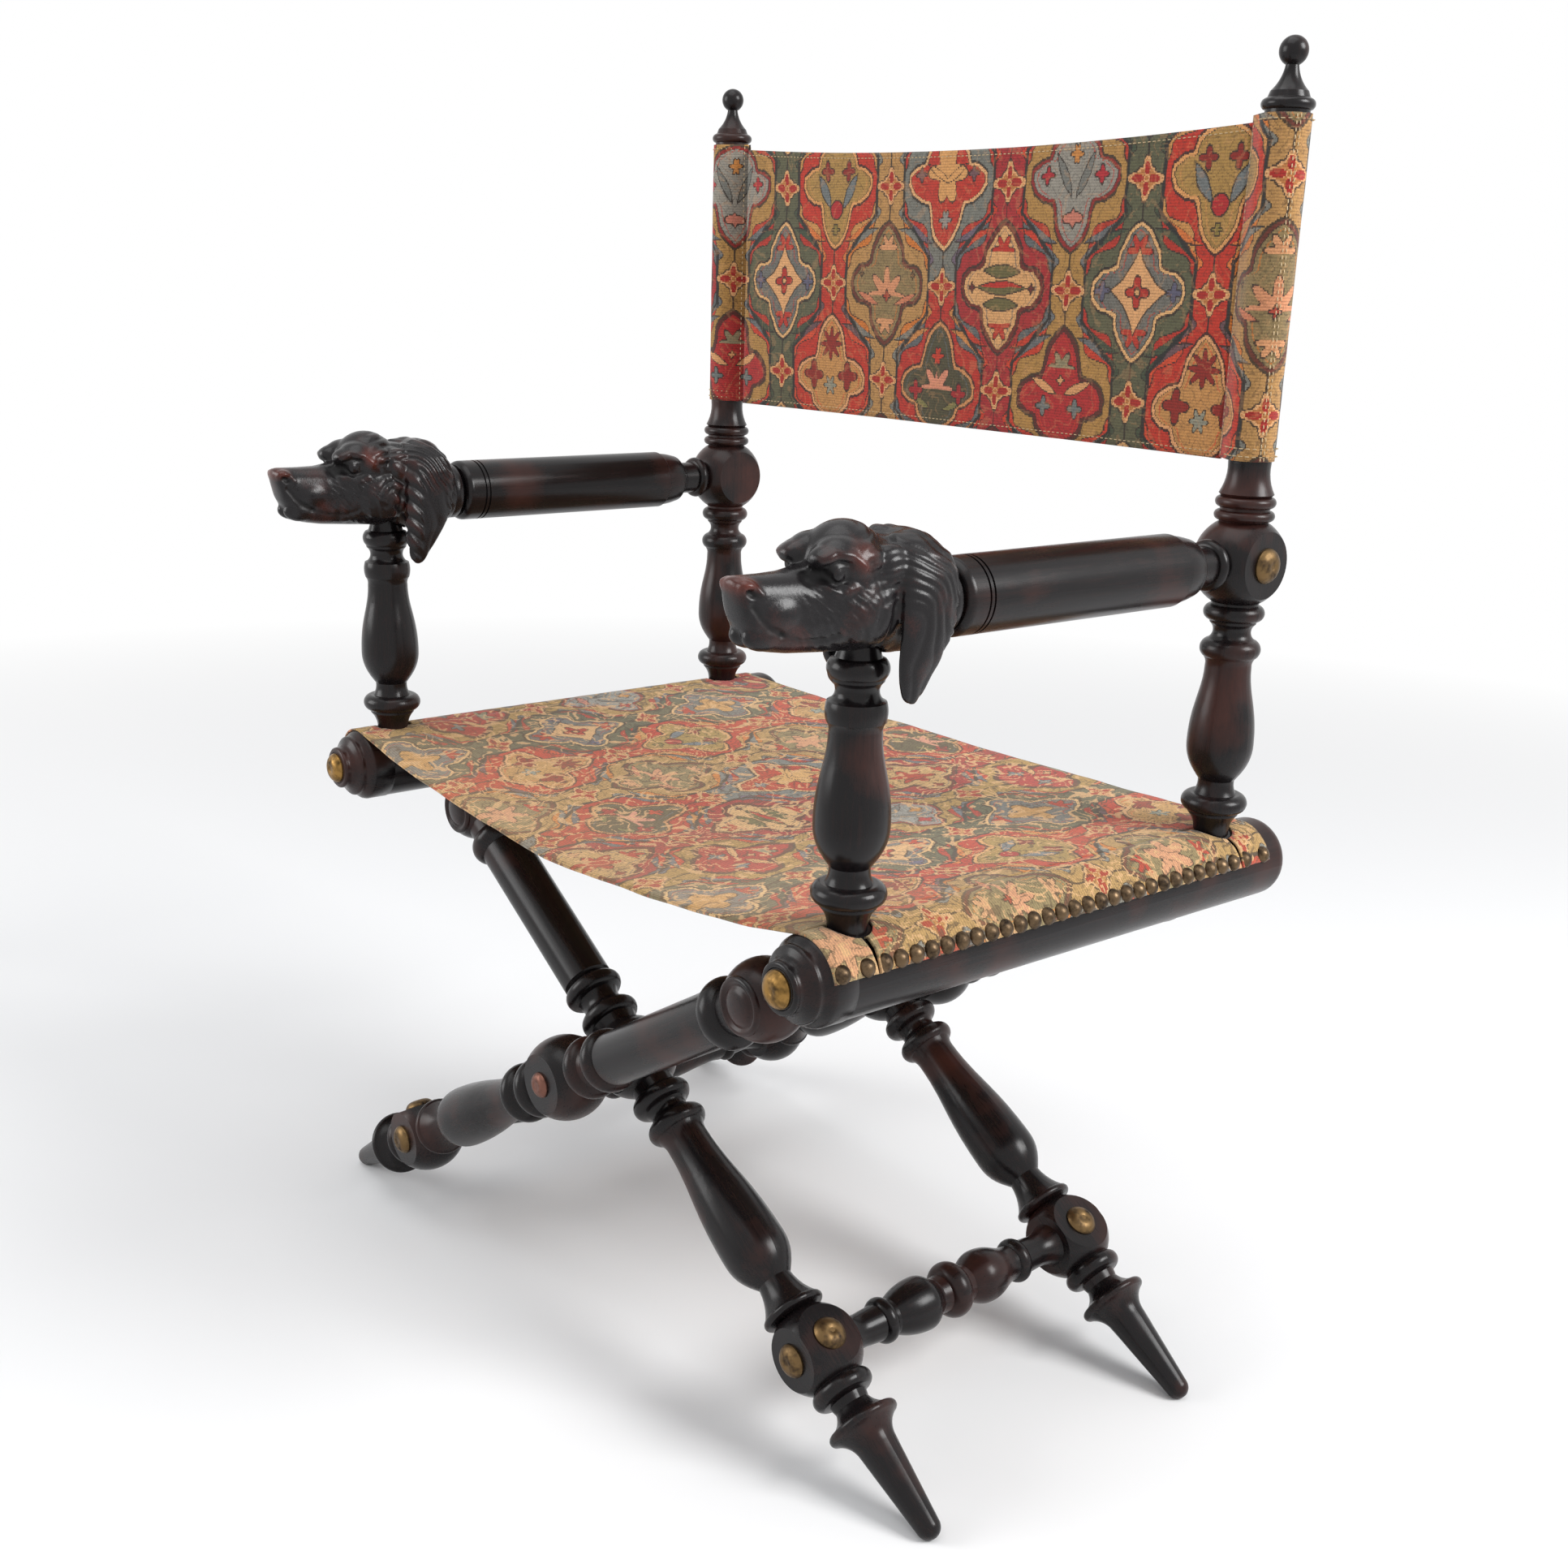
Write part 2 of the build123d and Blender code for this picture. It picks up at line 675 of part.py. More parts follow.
def make_leg(foot_side, y, end, pivot_hole):
    """One turned leg; the end says whether its outer face looks forwards or backwards."""
    axis = leg_axis(foot_side, y)
    with BuildPart() as leg:
        with BuildSketch(section(axis)):
            with BuildLine():
                outline = Turning(-foot_reach, foot_tip_radius, rounded=True)
                draw_leg(outline)
                outline.ball(upper_length, knuckle_radius, knuckle_crown_radius)
                outline.finish()
            make_face()
        revolve(axis=axis_of(axis))
        for face_end in (FRONT, REAR):
            cut_facet(leg_face(foot_side, y, 0, face_end, leg_facet_distance), leg_block_radius, leg_facet_distance)
            cut_facet(leg_face(foot_side, y, -block_reach, face_end, leg_facet_distance), leg_block_radius,
                      leg_facet_distance)
            cut_facet(leg_face(foot_side, y, upper_length, face_end, knuckle_half_thickness), knuckle_radius,
                      knuckle_half_thickness)
        cut_facet(block_top_face(foot_side, y), leg_block_radius, leg_facet_distance)
        # flat under the tip of the foot
        foot_x = foot_side * foot_reach * cos(leg_slope)
        with BuildSketch(Plane(origin=(foot_x, y, 0), z_dir=(0, 0, -1))):
            Circle(3 * foot_tip_radius)
        extrude(amount=foot_tip_radius, mode=Mode.SUBTRACT)
        # bores: pivot pin, knuckle pin, studs and stretcher
        bore(leg_face(foot_side, y, 0, end, leg_facet_distance), pivot_hole, 2 * leg_facet_distance)
        bore(leg_face(foot_side, y, upper_length, -end, knuckle_half_thickness),
             knuckle_pin_radius + running_clearance, knuckle_pin_depth)
        bore(leg_face(foot_side, y, -block_reach, end, leg_facet_distance), stud_shank_radius, stud_shank_length)
        bore(block_top_face(foot_side, y), stud_shank_radius, stud_shank_length)
        bore(leg_face(foot_side, y, -block_reach, -end, leg_facet_distance), stretcher_tenon_radius,
             stretcher_tenon_length)
    return leg


def make_leg_studs(foot_side, leg_ys):
    """Brass studs of a leg frame: one on the outer face and one on the upper face of each lower block."""
    with BuildPart() as studs:
        for end, y in zip((FRONT, REAR), leg_ys):
            draw_stud(leg_face(foot_side, y, -block_reach, end, leg_facet_distance))
            draw_stud(block_top_face(foot_side, y))
    return studs


def make_stretcher(foot_side, leg_ys):
    """Turned stretcher between the lower blocks of a leg frame: a ring in the middle of two bulbs."""
    half = (leg_ys[1] - leg_ys[0]) / 2 - leg_facet_distance
    axis = lengthwise_axis(foot_side * block_x, leg_centre_y, block_z)
    with BuildPart() as stretcher:
        with BuildSketch(section(axis)):
            with BuildLine():
                outline = Turning(1 - half - stretcher_tenon_length, stretcher_tenon_radius)
                outline.to(-half, stretcher_tenon_radius)
                outline.to(-half, 18.0)
                outline.arc(2 - half + 20, 13.5, -2.0)
                outline.to(-half + 35, 14.5)
                outline.bead(-half + 47, 18.4)
                outline.to(-half + 50, 14.5)
                outline.vase(-34, stretcher_belly_radius, -17, 14.5)
                outline.to(-10, 15.5)
                outline.bead(10, stretcher_belly_radius + 0.8)
                outline.to(17, 14.5)
                outline.vase(34, stretcher_belly_radius, half - 50, 14.5)
                outline.to(half - 47, 14.5)
                outline.bead(half - 35, 18.4)
                outline.to(half - 22, 13.5)
                outline.arc(half, 18.0, -2.0)
                outline.to(half, stretcher_tenon_radius)
                outline.to(half + stretcher_tenon_length - 1, stretcher_tenon_radius)
                outline.finish()
            make_face()
        revolve(axis=axis_of(axis))
    return stretcher


# Pivots


def make_pivot_pin(end, outer_y):
    """Steel pin with a domed outer head that joins a crossing pair of legs."""
    reach = leg_facet_distance + leg_pitch + leg_facet_distance + side_clearance
    axis = lengthwise_axis(0, outer_y + end * leg_facet_distance, pivot_height, -end)
    with BuildPart() as pin:
        with BuildSketch(section(axis)):
            with BuildLine():
                outline = Turning(-4.5, 3.0)
                outline.arc(-1.0, pivot_head_radius, 1.6)
                outline.to(0, pivot_head_radius)
                outline.to(0, pivot_pin_radius)
                outline.to(reach, pivot_pin_radius)
                outline.to(reach, pivot_head_radius)
                outline.to(reach + 2.5, pivot_head_radius)
                outline.arc(reach + 4.5, pivot_pin_radius, 0.8)
                outline.finish()
            make_face()
        revolve(axis=axis_of(axis))
    return pin


def make_pivot_spacer(end, outer_y):
    """Turned washer that keeps a crossing pair of legs apart."""
    thickness = leg_pitch - 2 * leg_facet_distance - side_clearance
    face = lengthwise_axis(0, outer_y - end * leg_facet_distance, pivot_height, -end)
    with BuildPart() as spacer:
        with BuildSketch(face):
            Circle(spacer_radius)
            Circle(pivot_pin_radius, mode=Mode.SUBTRACT)
        extrude(amount=thickness)
        chamfer(spacer.edges().filter_by(GeomType.CIRCLE).filter_by(lambda e: e.radius > pivot_head_radius), 1.5)
    return spacer


# Battens and knuckle pins


def make_batten(side, leg_ys):
    """Batten screwed under a rail, with a lug beside each knuckle."""
    inner = side * (half_spacing - batten_inner_inset)
    outer = inner + side * batten_width
    under = rail_height - batten_drop
    front = leg_ys[0] - batten_front_reach
    rear = leg_ys[1] + batten_front_reach
    with BuildPart() as batten:
        with BuildSketch(Plane(origin=((inner + outer) / 2, (front + rear) / 2, under), z_dir=(0, 0, 1))):
            Rectangle(batten_width, rear - front)
        extrude(amount=rail_radius)
        for end, end_y, leg_y in zip((FRONT, REAR), (front, rear), leg_ys):
            # slanted end
            with BuildSketch(Plane(origin=(inner, end_y, under), x_dir=(0, -end, 0), z_dir=(-end, 0, 0))):
                with BuildLine():
                    Polyline((0, 0), (batten_slant, 0), (0, batten_slant), close=True)
                make_face()
            extrude(amount=2 * batten_width, both=True, mode=Mode.SUBTRACT)
            # lug beside the inner flat of the knuckle
            lug_y = leg_y - end * (knuckle_half_thickness + side_clearance)
            with BuildSketch(across(lug_y)):
                with Locations((side * knuckle_x, knuckle_z)):
                    Circle(lug_radius)
                with BuildLine():
                    Polyline(
                        (side * knuckle_x, knuckle_z - lug_radius),
                        (outer, under),
                        (outer, rail_height),
                        (side * knuckle_x, knuckle_z + lug_radius),
                        close=True,
                    )
                make_face()
            extrude(amount=end * lug_thickness)
            bore(lengthwise_axis(side * knuckle_x, lug_y, knuckle_z, end), knuckle_pin_radius, lug_thickness)
        # hollow for the rail
        bore(lengthwise_axis(side * half_spacing, rail_front_y, rail_height, FRONT), rail_radius, rail_length)
        for y in rail_screw_ys():
            head = Plane(origin=(screw_x(side), y, under), z_dir=(0, 0, -1))
            bore(head, screw_radius, screw_length)
            bore(head, screw_head_radius, screw_head_depth)
    return batten


def make_batten_screws(side):
    """Screws that hold a batten to its rail."""
    with BuildPart() as screws:
        for y in rail_screw_ys():
            head = Plane(origin=(screw_x(side), y, rail_height - batten_drop), z_dir=(0, 0, 1))
            with BuildSketch(head):
                Circle(screw_head_radius)
            extrude(amount=screw_head_depth)
            with BuildSketch(head.offset(screw_head_depth)):
                Circle(screw_radius)
            extrude(amount=screw_length - screw_head_depth)
    return screws


def make_knuckle_pins(side, leg_ys):
    """Pins fixed in a batten's lugs, on which the knuckles turn."""
    with BuildPart() as pins:
        for end, y in zip((FRONT, REAR), leg_ys):
            lug_inner = y - end * (knuckle_half_thickness + side_clearance + lug_thickness)
            axis = lengthwise_axis(side * knuckle_x, lug_inner, knuckle_z, end)
            reach = lug_thickness + side_clearance + knuckle_pin_depth - 1.0
            with BuildSketch(section(axis)):
                with BuildLine():
                    outline = Turning(-3.5, 5.0)
                    outline.arc(-1.0, 8.5, 0.8)
                    outline.to(0, 8.5)
                    outline.to(0, knuckle_pin_radius)
                    outline.to(reach, knuckle_pin_radius)
                    outline.finish()
                make_face()
            revolve(axis=axis_of(axis))
    return pins


# Cloth and nails


def rail_point(side, angle, radius):
    """Point on a circle round a rail's axis: 0 degrees looks outwards and 90 up."""
    return (side * (half_spacing + radius * cos(radians(angle))), rail_height + radius * sin(radians(angle)))


def cut_post_holes(side):
    """Cut the cloth being built clear of the posts' feet."""
    for y in (front_post_y, rear_post_y):
        with BuildSketch(Plane(origin=(side * half_spacing, y, rail_height), z_dir=(0, 0, 1))) as hole:
            Circle(post_foot_radius + 3.0)
        extrude(hole.sketch, amount=2 * rail_radius, mode=Mode.SUBTRACT)


def make_seat_wrap(side):
    """Seat cloth where it lies on a rail, slit from each post to its nailed edge."""
    mid_angle = (wrap_lower_angle + wrap_inner_angle) / 2
    outer = rail_radius + cloth_thickness
    with BuildPart() as wrap:
        with BuildSketch(across(cloth_front_y)):
            with BuildLine():
                for radius in (rail_radius, outer):
                    ThreePointArc(
                        rail_point(side, wrap_lower_angle, radius),
                        rail_point(side, mid_angle, radius),
                        rail_point(side, wrap_inner_angle, radius),
                    )
                for angle in (wrap_lower_angle, wrap_inner_angle):
                    Line(rail_point(side, angle, rail_radius), rail_point(side, angle, outer))
            make_face()
        extrude(amount=cloth_front_y - cloth_rear_y)
        cut_post_holes(side)
        for y in (front_post_y, rear_post_y):
            slit_x = side * (half_spacing + rail_radius / 2 + cloth_thickness)
            with BuildSketch(Plane(origin=(slit_x, y, rail_height), z_dir=(0, 0, 1))):
                Rectangle(rail_radius + 2 * cloth_thickness, slit_width)
            extrude(amount=2 * rail_radius, mode=Mode.SUBTRACT)
    return wrap


def seat_section(y, sag):
    """Section of the seat sling across the chair, hanging by its sag between the two wraps."""
    with BuildSketch(across(y)) as strip:
        with BuildLine():
            lower = rail_point(RIGHT, wrap_inner_angle, rail_radius)
            upper = rail_point(RIGHT, wrap_inner_angle, rail_radius + cloth_thickness)
            for x, z in (lower, upper):
                ThreePointArc((cloth_gap - x, z), (0, z - sag), (x, z))
            Line(lower, upper)
            Line((cloth_gap - lower[0], lower[1]), (cloth_gap - upper[0], upper[1]))
        make_face()
    return strip.sketch


def make_seat_panel():
    """Seat sling between the rails, lower in front than behind."""
    with BuildPart() as panel:
        loft([seat_section(cloth_front_y, seat_front_sag), seat_section(cloth_rear_y, seat_rear_sag)])
        for side in (LEFT, RIGHT):
            cut_post_holes(side)
    return panel


def make_seat_nails(side):
    """Close row of nails along the cloth's outer edge."""
    run = cloth_rear_y - cloth_front_y - 2 * nail_head_radius - 4.0
    count = ceil(run / nail_pitch)
    wrap_outer = rail_radius + cloth_thickness
    with BuildPart() as nails:
        for index in range(count + 1):
            y = cloth_front_y + nail_head_radius + 2.0 + run * index / count
            if min(abs(y - front_post_y), abs(y - rear_post_y)) < slit_width / 2 + 1.5:
                continue
            x, z = rail_point(side, nail_angle, wrap_outer)
            outward = (side * cos(radians(nail_angle)), 0, sin(radians(nail_angle)))
            seat = Plane(origin=(x, y, z), x_dir=(0, 1, 0), z_dir=outward)
            with BuildSketch(section(seat)):
                with BuildLine():
                    outline = Turning(-nail_shank_length, nail_shank_radius)
                    outline.to(0, nail_shank_radius)
                    outline.to(0, nail_head_radius)
                    outline.to(nail_head_rise, nail_head_radius * 0.45)
                    outline.finish()
                make_face()
            revolve(axis=axis_of(seat))
    return nails


def make_back_sleeve(side):
    """Cloth sleeve round an upright, with the flat tab that runs to the seam."""
    sleeve_radius = upright_radius + sleeve_thickness
    sleeve_bottom = arm_height + upright_base + 2.0
    with BuildPart() as sleeve:
        with BuildSketch(Plane(origin=(side * half_spacing, rear_post_y, sleeve_bottom), z_dir=(0, 0, 1))):
            Circle(sleeve_radius)
            with Locations((-side * seam_inset / 2, 0)):
                Rectangle(seam_inset, back_panel_thickness)
            Circle(upright_radius, mode=Mode.SUBTRACT)
        extrude(amount=upright_height - 2.0 - sleeve_bottom)
    return sleeve


def make_back_panel():
    """Back sling between the seams, with a slightly hollow top edge."""
    half_width = half_spacing - seam_inset
    with BuildPart() as panel:
        with BuildSketch(across(rear_post_y)):
            with BuildLine():
                Line((half_width, back_top), (half_width, back_bottom))
                Line((half_width, back_bottom), (cloth_gap - half_width, back_bottom))
                Line((cloth_gap - half_width, back_bottom), (cloth_gap - half_width, back_top))
                ThreePointArc((cloth_gap - half_width, back_top), (0, back_top - back_top_sag), (half_width, back_top))
            make_face()
        extrude(amount=back_panel_thickness / 2, both=True)
    return panel


# Side frames
side_leg_ys = {"left": leg_b_y, "right": leg_a_y}
for side_name, side in SIDES.items():
    save(make_rail(side), f"seat_rail_{side_name}")
    save(make_front_post(side), f"front_post_{side_name}")
    save(make_rear_post(side), f"rear_post_{side_name}")
    save(make_finial(side), f"finial_{side_name}")
    save(make_arm(side), f"arm_{side_name}")
    save(make_dog_head(side), f"dog_head_{side_name}")
    save(make_batten(side, side_leg_ys[side_name]), f"hinge_batten_{side_name}")
    save(make_batten_screws(side), f"batten_screws_{side_name}")
    save(make_knuckle_pins(side, side_leg_ys[side_name]), f"knuckle_pins_{side_name}")
    save(make_seat_wrap(side), f"seat_wrap_{side_name}")
    save(make_seat_nails(side), f"seat_nails_{side_name}")
    save(make_back_sleeve(side), f"back_sleeve_{side_name}")

    with BuildPart() as rail_stud:
        draw_stud(lengthwise_axis(side * half_spacing, rail_front_y, rail_height, FRONT))
    save(rail_stud, f"rail_stud_{side_name}")

    with BuildPart() as ball_stud:
        draw_stud(outward_face(side, rear_post_y, arm_height, facet_distance))
    save(ball_stud, f"ball_stud_{side_name}")

# Slings
save(make_seat_panel(), "seat_panel")
save(make_back_panel(), "back_panel")

# Leg frames: A is the outer frame, hinged to the right rail; B is the inner one, hinged to the left rail
for frame_name, foot_side, leg_ys, pivot_hole in (
    ("a", LEFT, leg_a_y, pivot_pin_radius),
    ("b", RIGHT, leg_b_y, pivot_pin_radius + running_clearance),
):
    for (end_name, end), leg_y in zip(ENDS.items(), leg_ys):
        save(make_leg(foot_side, leg_y, end, pivot_hole), f"leg_{frame_name}_{end_name}")
    save(make_leg_studs(foot_side, leg_ys), f"leg_{frame_name}_studs")
    save(make_stretcher(foot_side, leg_ys), f"stretcher_{frame_name}")

for (end_name, end), leg_y in zip(ENDS.items(), leg_a_y):
    save(make_pivot_pin(end, leg_y), f"pivot_pin_{end_name}")
    save(make_pivot_spacer(end, leg_y), f"pivot_spacer_{end_name}")

print(f"knuckle pins at x {knuckle_x:.2f}, z {knuckle_z:.2f}; pivots at z {pivot_height:.2f}")
print(f"legs fold by {fold_angle:.2f} degrees; feet at x {foot_reach * cos(leg_slope):.2f}")
print(f"leg frames at y {leg_a_y[0]:.2f}, {leg_b_y[0]:.2f}, {leg_b_y[1]:.2f}, {leg_a_y[1]:.2f}")
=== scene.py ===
"""Folding X-frame armchair: finishes, carved heads, cloth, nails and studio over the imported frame.

The frame gives every turned piece its shape and place. This script dresses those pieces, and makes the
hounds' heads, the woven slings, their stitching and the nails that stand for the plain solids of the frame.
Lengths are in metres unless a name ends in _mm.
"""

import ast
import json
import logging
from collections.abc import Callable, Sequence
from dataclasses import dataclass
from enum import Enum
from math import atan2, cos, degrees, hypot, pi, radians, sin, sqrt
from textwrap import dedent

import bmesh
import bpy
import numpy as np
from mathutils import Matrix, Vector, noise


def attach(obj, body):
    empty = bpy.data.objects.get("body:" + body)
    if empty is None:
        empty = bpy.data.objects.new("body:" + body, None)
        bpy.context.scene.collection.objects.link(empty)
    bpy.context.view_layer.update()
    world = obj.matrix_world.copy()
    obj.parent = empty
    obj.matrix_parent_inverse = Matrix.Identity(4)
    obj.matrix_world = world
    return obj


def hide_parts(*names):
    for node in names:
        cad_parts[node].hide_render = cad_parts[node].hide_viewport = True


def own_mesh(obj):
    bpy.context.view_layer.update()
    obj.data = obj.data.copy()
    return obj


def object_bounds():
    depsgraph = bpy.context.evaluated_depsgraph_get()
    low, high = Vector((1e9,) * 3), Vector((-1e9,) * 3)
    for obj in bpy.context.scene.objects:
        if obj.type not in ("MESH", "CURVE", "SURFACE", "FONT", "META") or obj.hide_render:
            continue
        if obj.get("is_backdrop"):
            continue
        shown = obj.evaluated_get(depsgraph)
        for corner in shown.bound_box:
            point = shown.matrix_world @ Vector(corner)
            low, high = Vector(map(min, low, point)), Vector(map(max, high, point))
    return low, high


log = logging.getLogger("chair")
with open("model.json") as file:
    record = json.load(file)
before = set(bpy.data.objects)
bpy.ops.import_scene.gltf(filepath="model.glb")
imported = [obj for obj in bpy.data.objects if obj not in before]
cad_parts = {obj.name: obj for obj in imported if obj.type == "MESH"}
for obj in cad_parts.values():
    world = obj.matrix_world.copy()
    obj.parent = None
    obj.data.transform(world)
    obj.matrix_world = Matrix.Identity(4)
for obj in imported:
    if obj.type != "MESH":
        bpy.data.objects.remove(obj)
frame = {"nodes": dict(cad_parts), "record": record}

MM = 0.001
SIDES = {"left": -1, "right": 1}
ENDS = {"front": -1, "rear": 1}
# the axis of a seat rail, and of the posts and the arm over it
RAIL_X_MM = 313.0
RAIL_Z_MM = 430.0
NodeSocket = bpy.types.NodeSocket
# a point in millimetres, and its place on the flat cloth in millimetres
Spot = tuple[float, float, float, float, float]


# Shader and geometry trees


def linear(colour: str) -> tuple[float, float, float, float]:
    """Turn an sRGB colour into the linear values that sockets hold.

    Args:
        colour: six hex digits, such as "8c2a20".

    Returns:
        Linear red, green, blue and an alpha of 1.
    """
    values = []
    for start in (0, 2, 4):
        share = int(colour[start : start + 2], 16) / 255
        values.append(share / 12.92 if share <= 0.04045 else ((share + 0.055) / 1.055) ** 2.4)
    return (*values, 1.0)


def feed(tree: bpy.types.NodeTree, node: bpy.types.Node, inputs: dict) -> None:
    """Set a node's inputs.

    Args:
        tree: the node's tree.
        node: the node.
        inputs: socket name or number to a value, or to the socket that feeds it.
    """
    for key, value in inputs.items():
        if isinstance(value, NodeSocket):
            tree.links.new(value, node.inputs[key])
        else:
            node.inputs[key].default_value = value


def put(tree: bpy.types.NodeTree, kind: str, inputs: dict | None = None, **settings) -> bpy.types.Node:
    """Add one node with its settings and its inputs.

    Args:
        tree: the tree that gets the node.
        kind: the node's type, such as "ShaderNodeMath".
        inputs: socket name or number to a value, or to the socket that feeds it.
        settings: the node's own properties.

    Returns:
        The new node.
    """
    node = tree.nodes.new(kind)
    for name, value in settings.items():
        setattr(node, name, value)
    feed(tree, node, inputs or {})
    return node


class Formula:
    """Lines of arithmetic turned into Math nodes.

    A line such as "edge = half * width - abs(x)" adds the nodes that work it out, and later lines may use
    the name on its left. A minus sign may stand before a number, but not before a name.
    """

    OPERATORS = {ast.Add: "ADD", ast.Sub: "SUBTRACT", ast.Mult: "MULTIPLY", ast.Div: "DIVIDE", ast.Pow: "POWER"}
    CALLS = {
        "abs": "ABSOLUTE", "min": "MINIMUM", "max": "MAXIMUM", "floor": "FLOOR", "round": "ROUND", "snap": "SNAP",
        "wrap": "WRAP", "cos": "COSINE", "sin": "SINE", "angle": "ARCTAN2", "sqrt": "SQRT", "less": "LESS_THAN",
        "more": "GREATER_THAN",
    }

    def __init__(self, tree: bpy.types.NodeTree, **names: NodeSocket | float) -> None:
        """Start in a tree, with the sockets and numbers that the lines may use."""
        self.tree = tree
        self.names = dict(names)

    def work_out(self, text: str) -> None:
        """Add the nodes for some assignments, one to a line."""
        for line in ast.parse(dedent(text)).body:
            self.names[line.targets[0].id] = self._value(line.value)

    def _value(self, part: ast.expr) -> NodeSocket | float:
        """Give the socket or number for one part of a line.

        Args:
            part: a piece of the parsed line.

        Returns:
            The number itself, or the socket that holds the result.
        """
        if isinstance(part, ast.Constant):
            return float(part.value)
        if isinstance(part, ast.Name):
            return self.names[part.id]
        if isinstance(part, ast.UnaryOp):
            return -self._value(part.operand)
        if isinstance(part, ast.BinOp):
            operation, operands = self.OPERATORS[type(part.op)], (part.left, part.right)
        else:
            operation, operands = self.CALLS[part.func.id], part.args
        values = dict(enumerate([self._value(operand) for operand in operands]))
        return put(self.tree, "ShaderNodeMath", values, operation=operation).outputs[0]

    def __getitem__(self, name: str) -> NodeSocket | float:
        """The socket or number that a name stands for."""
        return self.names[name]


def new_material(name: str) -> tuple[bpy.types.Material, bpy.types.NodeTree, bpy.types.Node]:
    """Start a material.

    Args:
        name: the finish's name.

    Returns:
        The material, its tree and its Principled BSDF.
    """
    material = bpy.data.materials.new(name)
    material.use_nodes = True
    tree = material.node_tree
    return material, tree, tree.nodes["Principled BSDF"]


# Finishes


class Grain(Enum):
    """Which way a turned piece's axis, and so its grain, runs: its turn about X, Y and Z from upright."""

    UPRIGHT = (0.0, 0.0, 0.0)
    LENGTHWISE = (90.0, 0.0, 0.0)
    LEG_A = (0.0, 58.3, 0.0)
    LEG_B = (0.0, -58.3, 0.0)


@dataclass(frozen=True)
class EbonisedWood:
    """Beech stained black and French polished, turned on a lathe.

    The stain is uneven, so red-brown wood shows through along the grain and where hands rub it, and the
    polish gives a soft gloss with fine scratches.
    """

    name: str = "ebonised_wood"
    stain: str = "141112"
    worn: str = "47261f"
    polish_roughness: float = 0.27
    grain_mm: float = 2.2
    grain_depth_mm: float = 0.4
    cloud_mm: float = 70.0

    def material(self, grain: Grain) -> bpy.types.Material:
        """Make the material for one direction of grain.

        Args:
            grain: the way the piece's axis runs.

        Returns:
            The material.
        """
        material, tree, shader = new_material(f"{self.name}_{grain.name.lower()}")
        place = put(tree, "ShaderNodeTexCoord").outputs["Object"]
        lean = tuple(radians(angle) for angle in grain.value)
        upright = put(tree, "ShaderNodeMapping", {0: place, "Rotation": lean}, vector_type="TEXTURE")
        along = put(tree, "ShaderNodeMapping", {0: upright.outputs[0], "Scale": (1.0, 1.0, 0.06)})
        grain_scale = 1 / (self.grain_mm * MM)
        streaks = put(tree, "ShaderNodeTexNoise", {0: along.outputs[0], "Scale": grain_scale, "Detail": 4.0})
        clouds = put(tree, "ShaderNodeTexNoise", {0: place, "Scale": 1 / (self.cloud_mm * MM), "Detail": 3.0})
        wear = Formula(tree, streak=streaks.outputs[0], cloud=clouds.outputs[0])
        wear.work_out(f"""
            patch = min(max((cloud - 0.5) * 5.0, 0.0), 1.0)
            share = min(max(patch * 0.62 + (streak - 0.5) * 0.4, 0.0), 1.0)
            roughness = {self.polish_roughness} + (streak - 0.5) * 0.1 + (cloud - 0.5) * 0.2
        """)
        stained = {0: wear["share"], 6: linear(self.stain), 7: linear(self.worn)}
        colour = put(tree, "ShaderNodeMix", stained, data_type="RGBA")
        grooves = {"Height": streaks.outputs[0], "Strength": 0.07, "Distance": self.grain_depth_mm * MM}
        bump = put(tree, "ShaderNodeBump", grooves)
        feed(tree, shader, {"Base Color": colour.outputs[2], "Roughness": wear["roughness"], "Normal": bump.outputs[0],
                            "IOR": 1.5, "Specular IOR Level": 0.24})
        return material


@dataclass(frozen=True)
class OldMetal:
    """Cast or spun metal that has dulled: bright where it is rubbed and brown in the hollows."""

    name: str
    bright: str
    dull: str
    roughness: float = 0.34
    pit_mm: float = 2.5
    pit_depth_mm: float = 0.3
    film_mm: float = 9.0

    def material(self) -> bpy.types.Material:
        """Make the metal's material.

        Returns:
            The material.
        """
        material, tree, shader = new_material(self.name)
        place = put(tree, "ShaderNodeTexCoord").outputs["Object"]
        pits = put(tree, "ShaderNodeTexNoise", {0: place, "Scale": 1 / (self.pit_mm * MM), "Detail": 5.0})
        film = put(tree, "ShaderNodeTexNoise", {0: place, "Scale": 1 / (self.film_mm * MM), "Detail": 2.0})
        wear = Formula(tree, pit=pits.outputs[0], film=film.outputs[0])
        wear.work_out(f"""
            share = min(max((film - 0.42) * 3.0 + (pit - 0.5) * 1.2, 0.0), 1.0)
            roughness = {self.roughness} + share * 0.18
        """)
        dulled = {0: wear["share"], 6: linear(self.bright), 7: linear(self.dull)}
        colour = put(tree, "ShaderNodeMix", dulled, data_type="RGBA")
        hollows = {"Height": pits.outputs[0], "Strength": 0.25, "Distance": self.pit_depth_mm * MM}
        bump = put(tree, "ShaderNodeBump", hollows)
        feed(tree, shader, {"Base Color": colour.outputs[2], "Roughness": wear["roughness"], "Normal": bump.outputs[0],
                            "Metallic": 1.0})
        return material


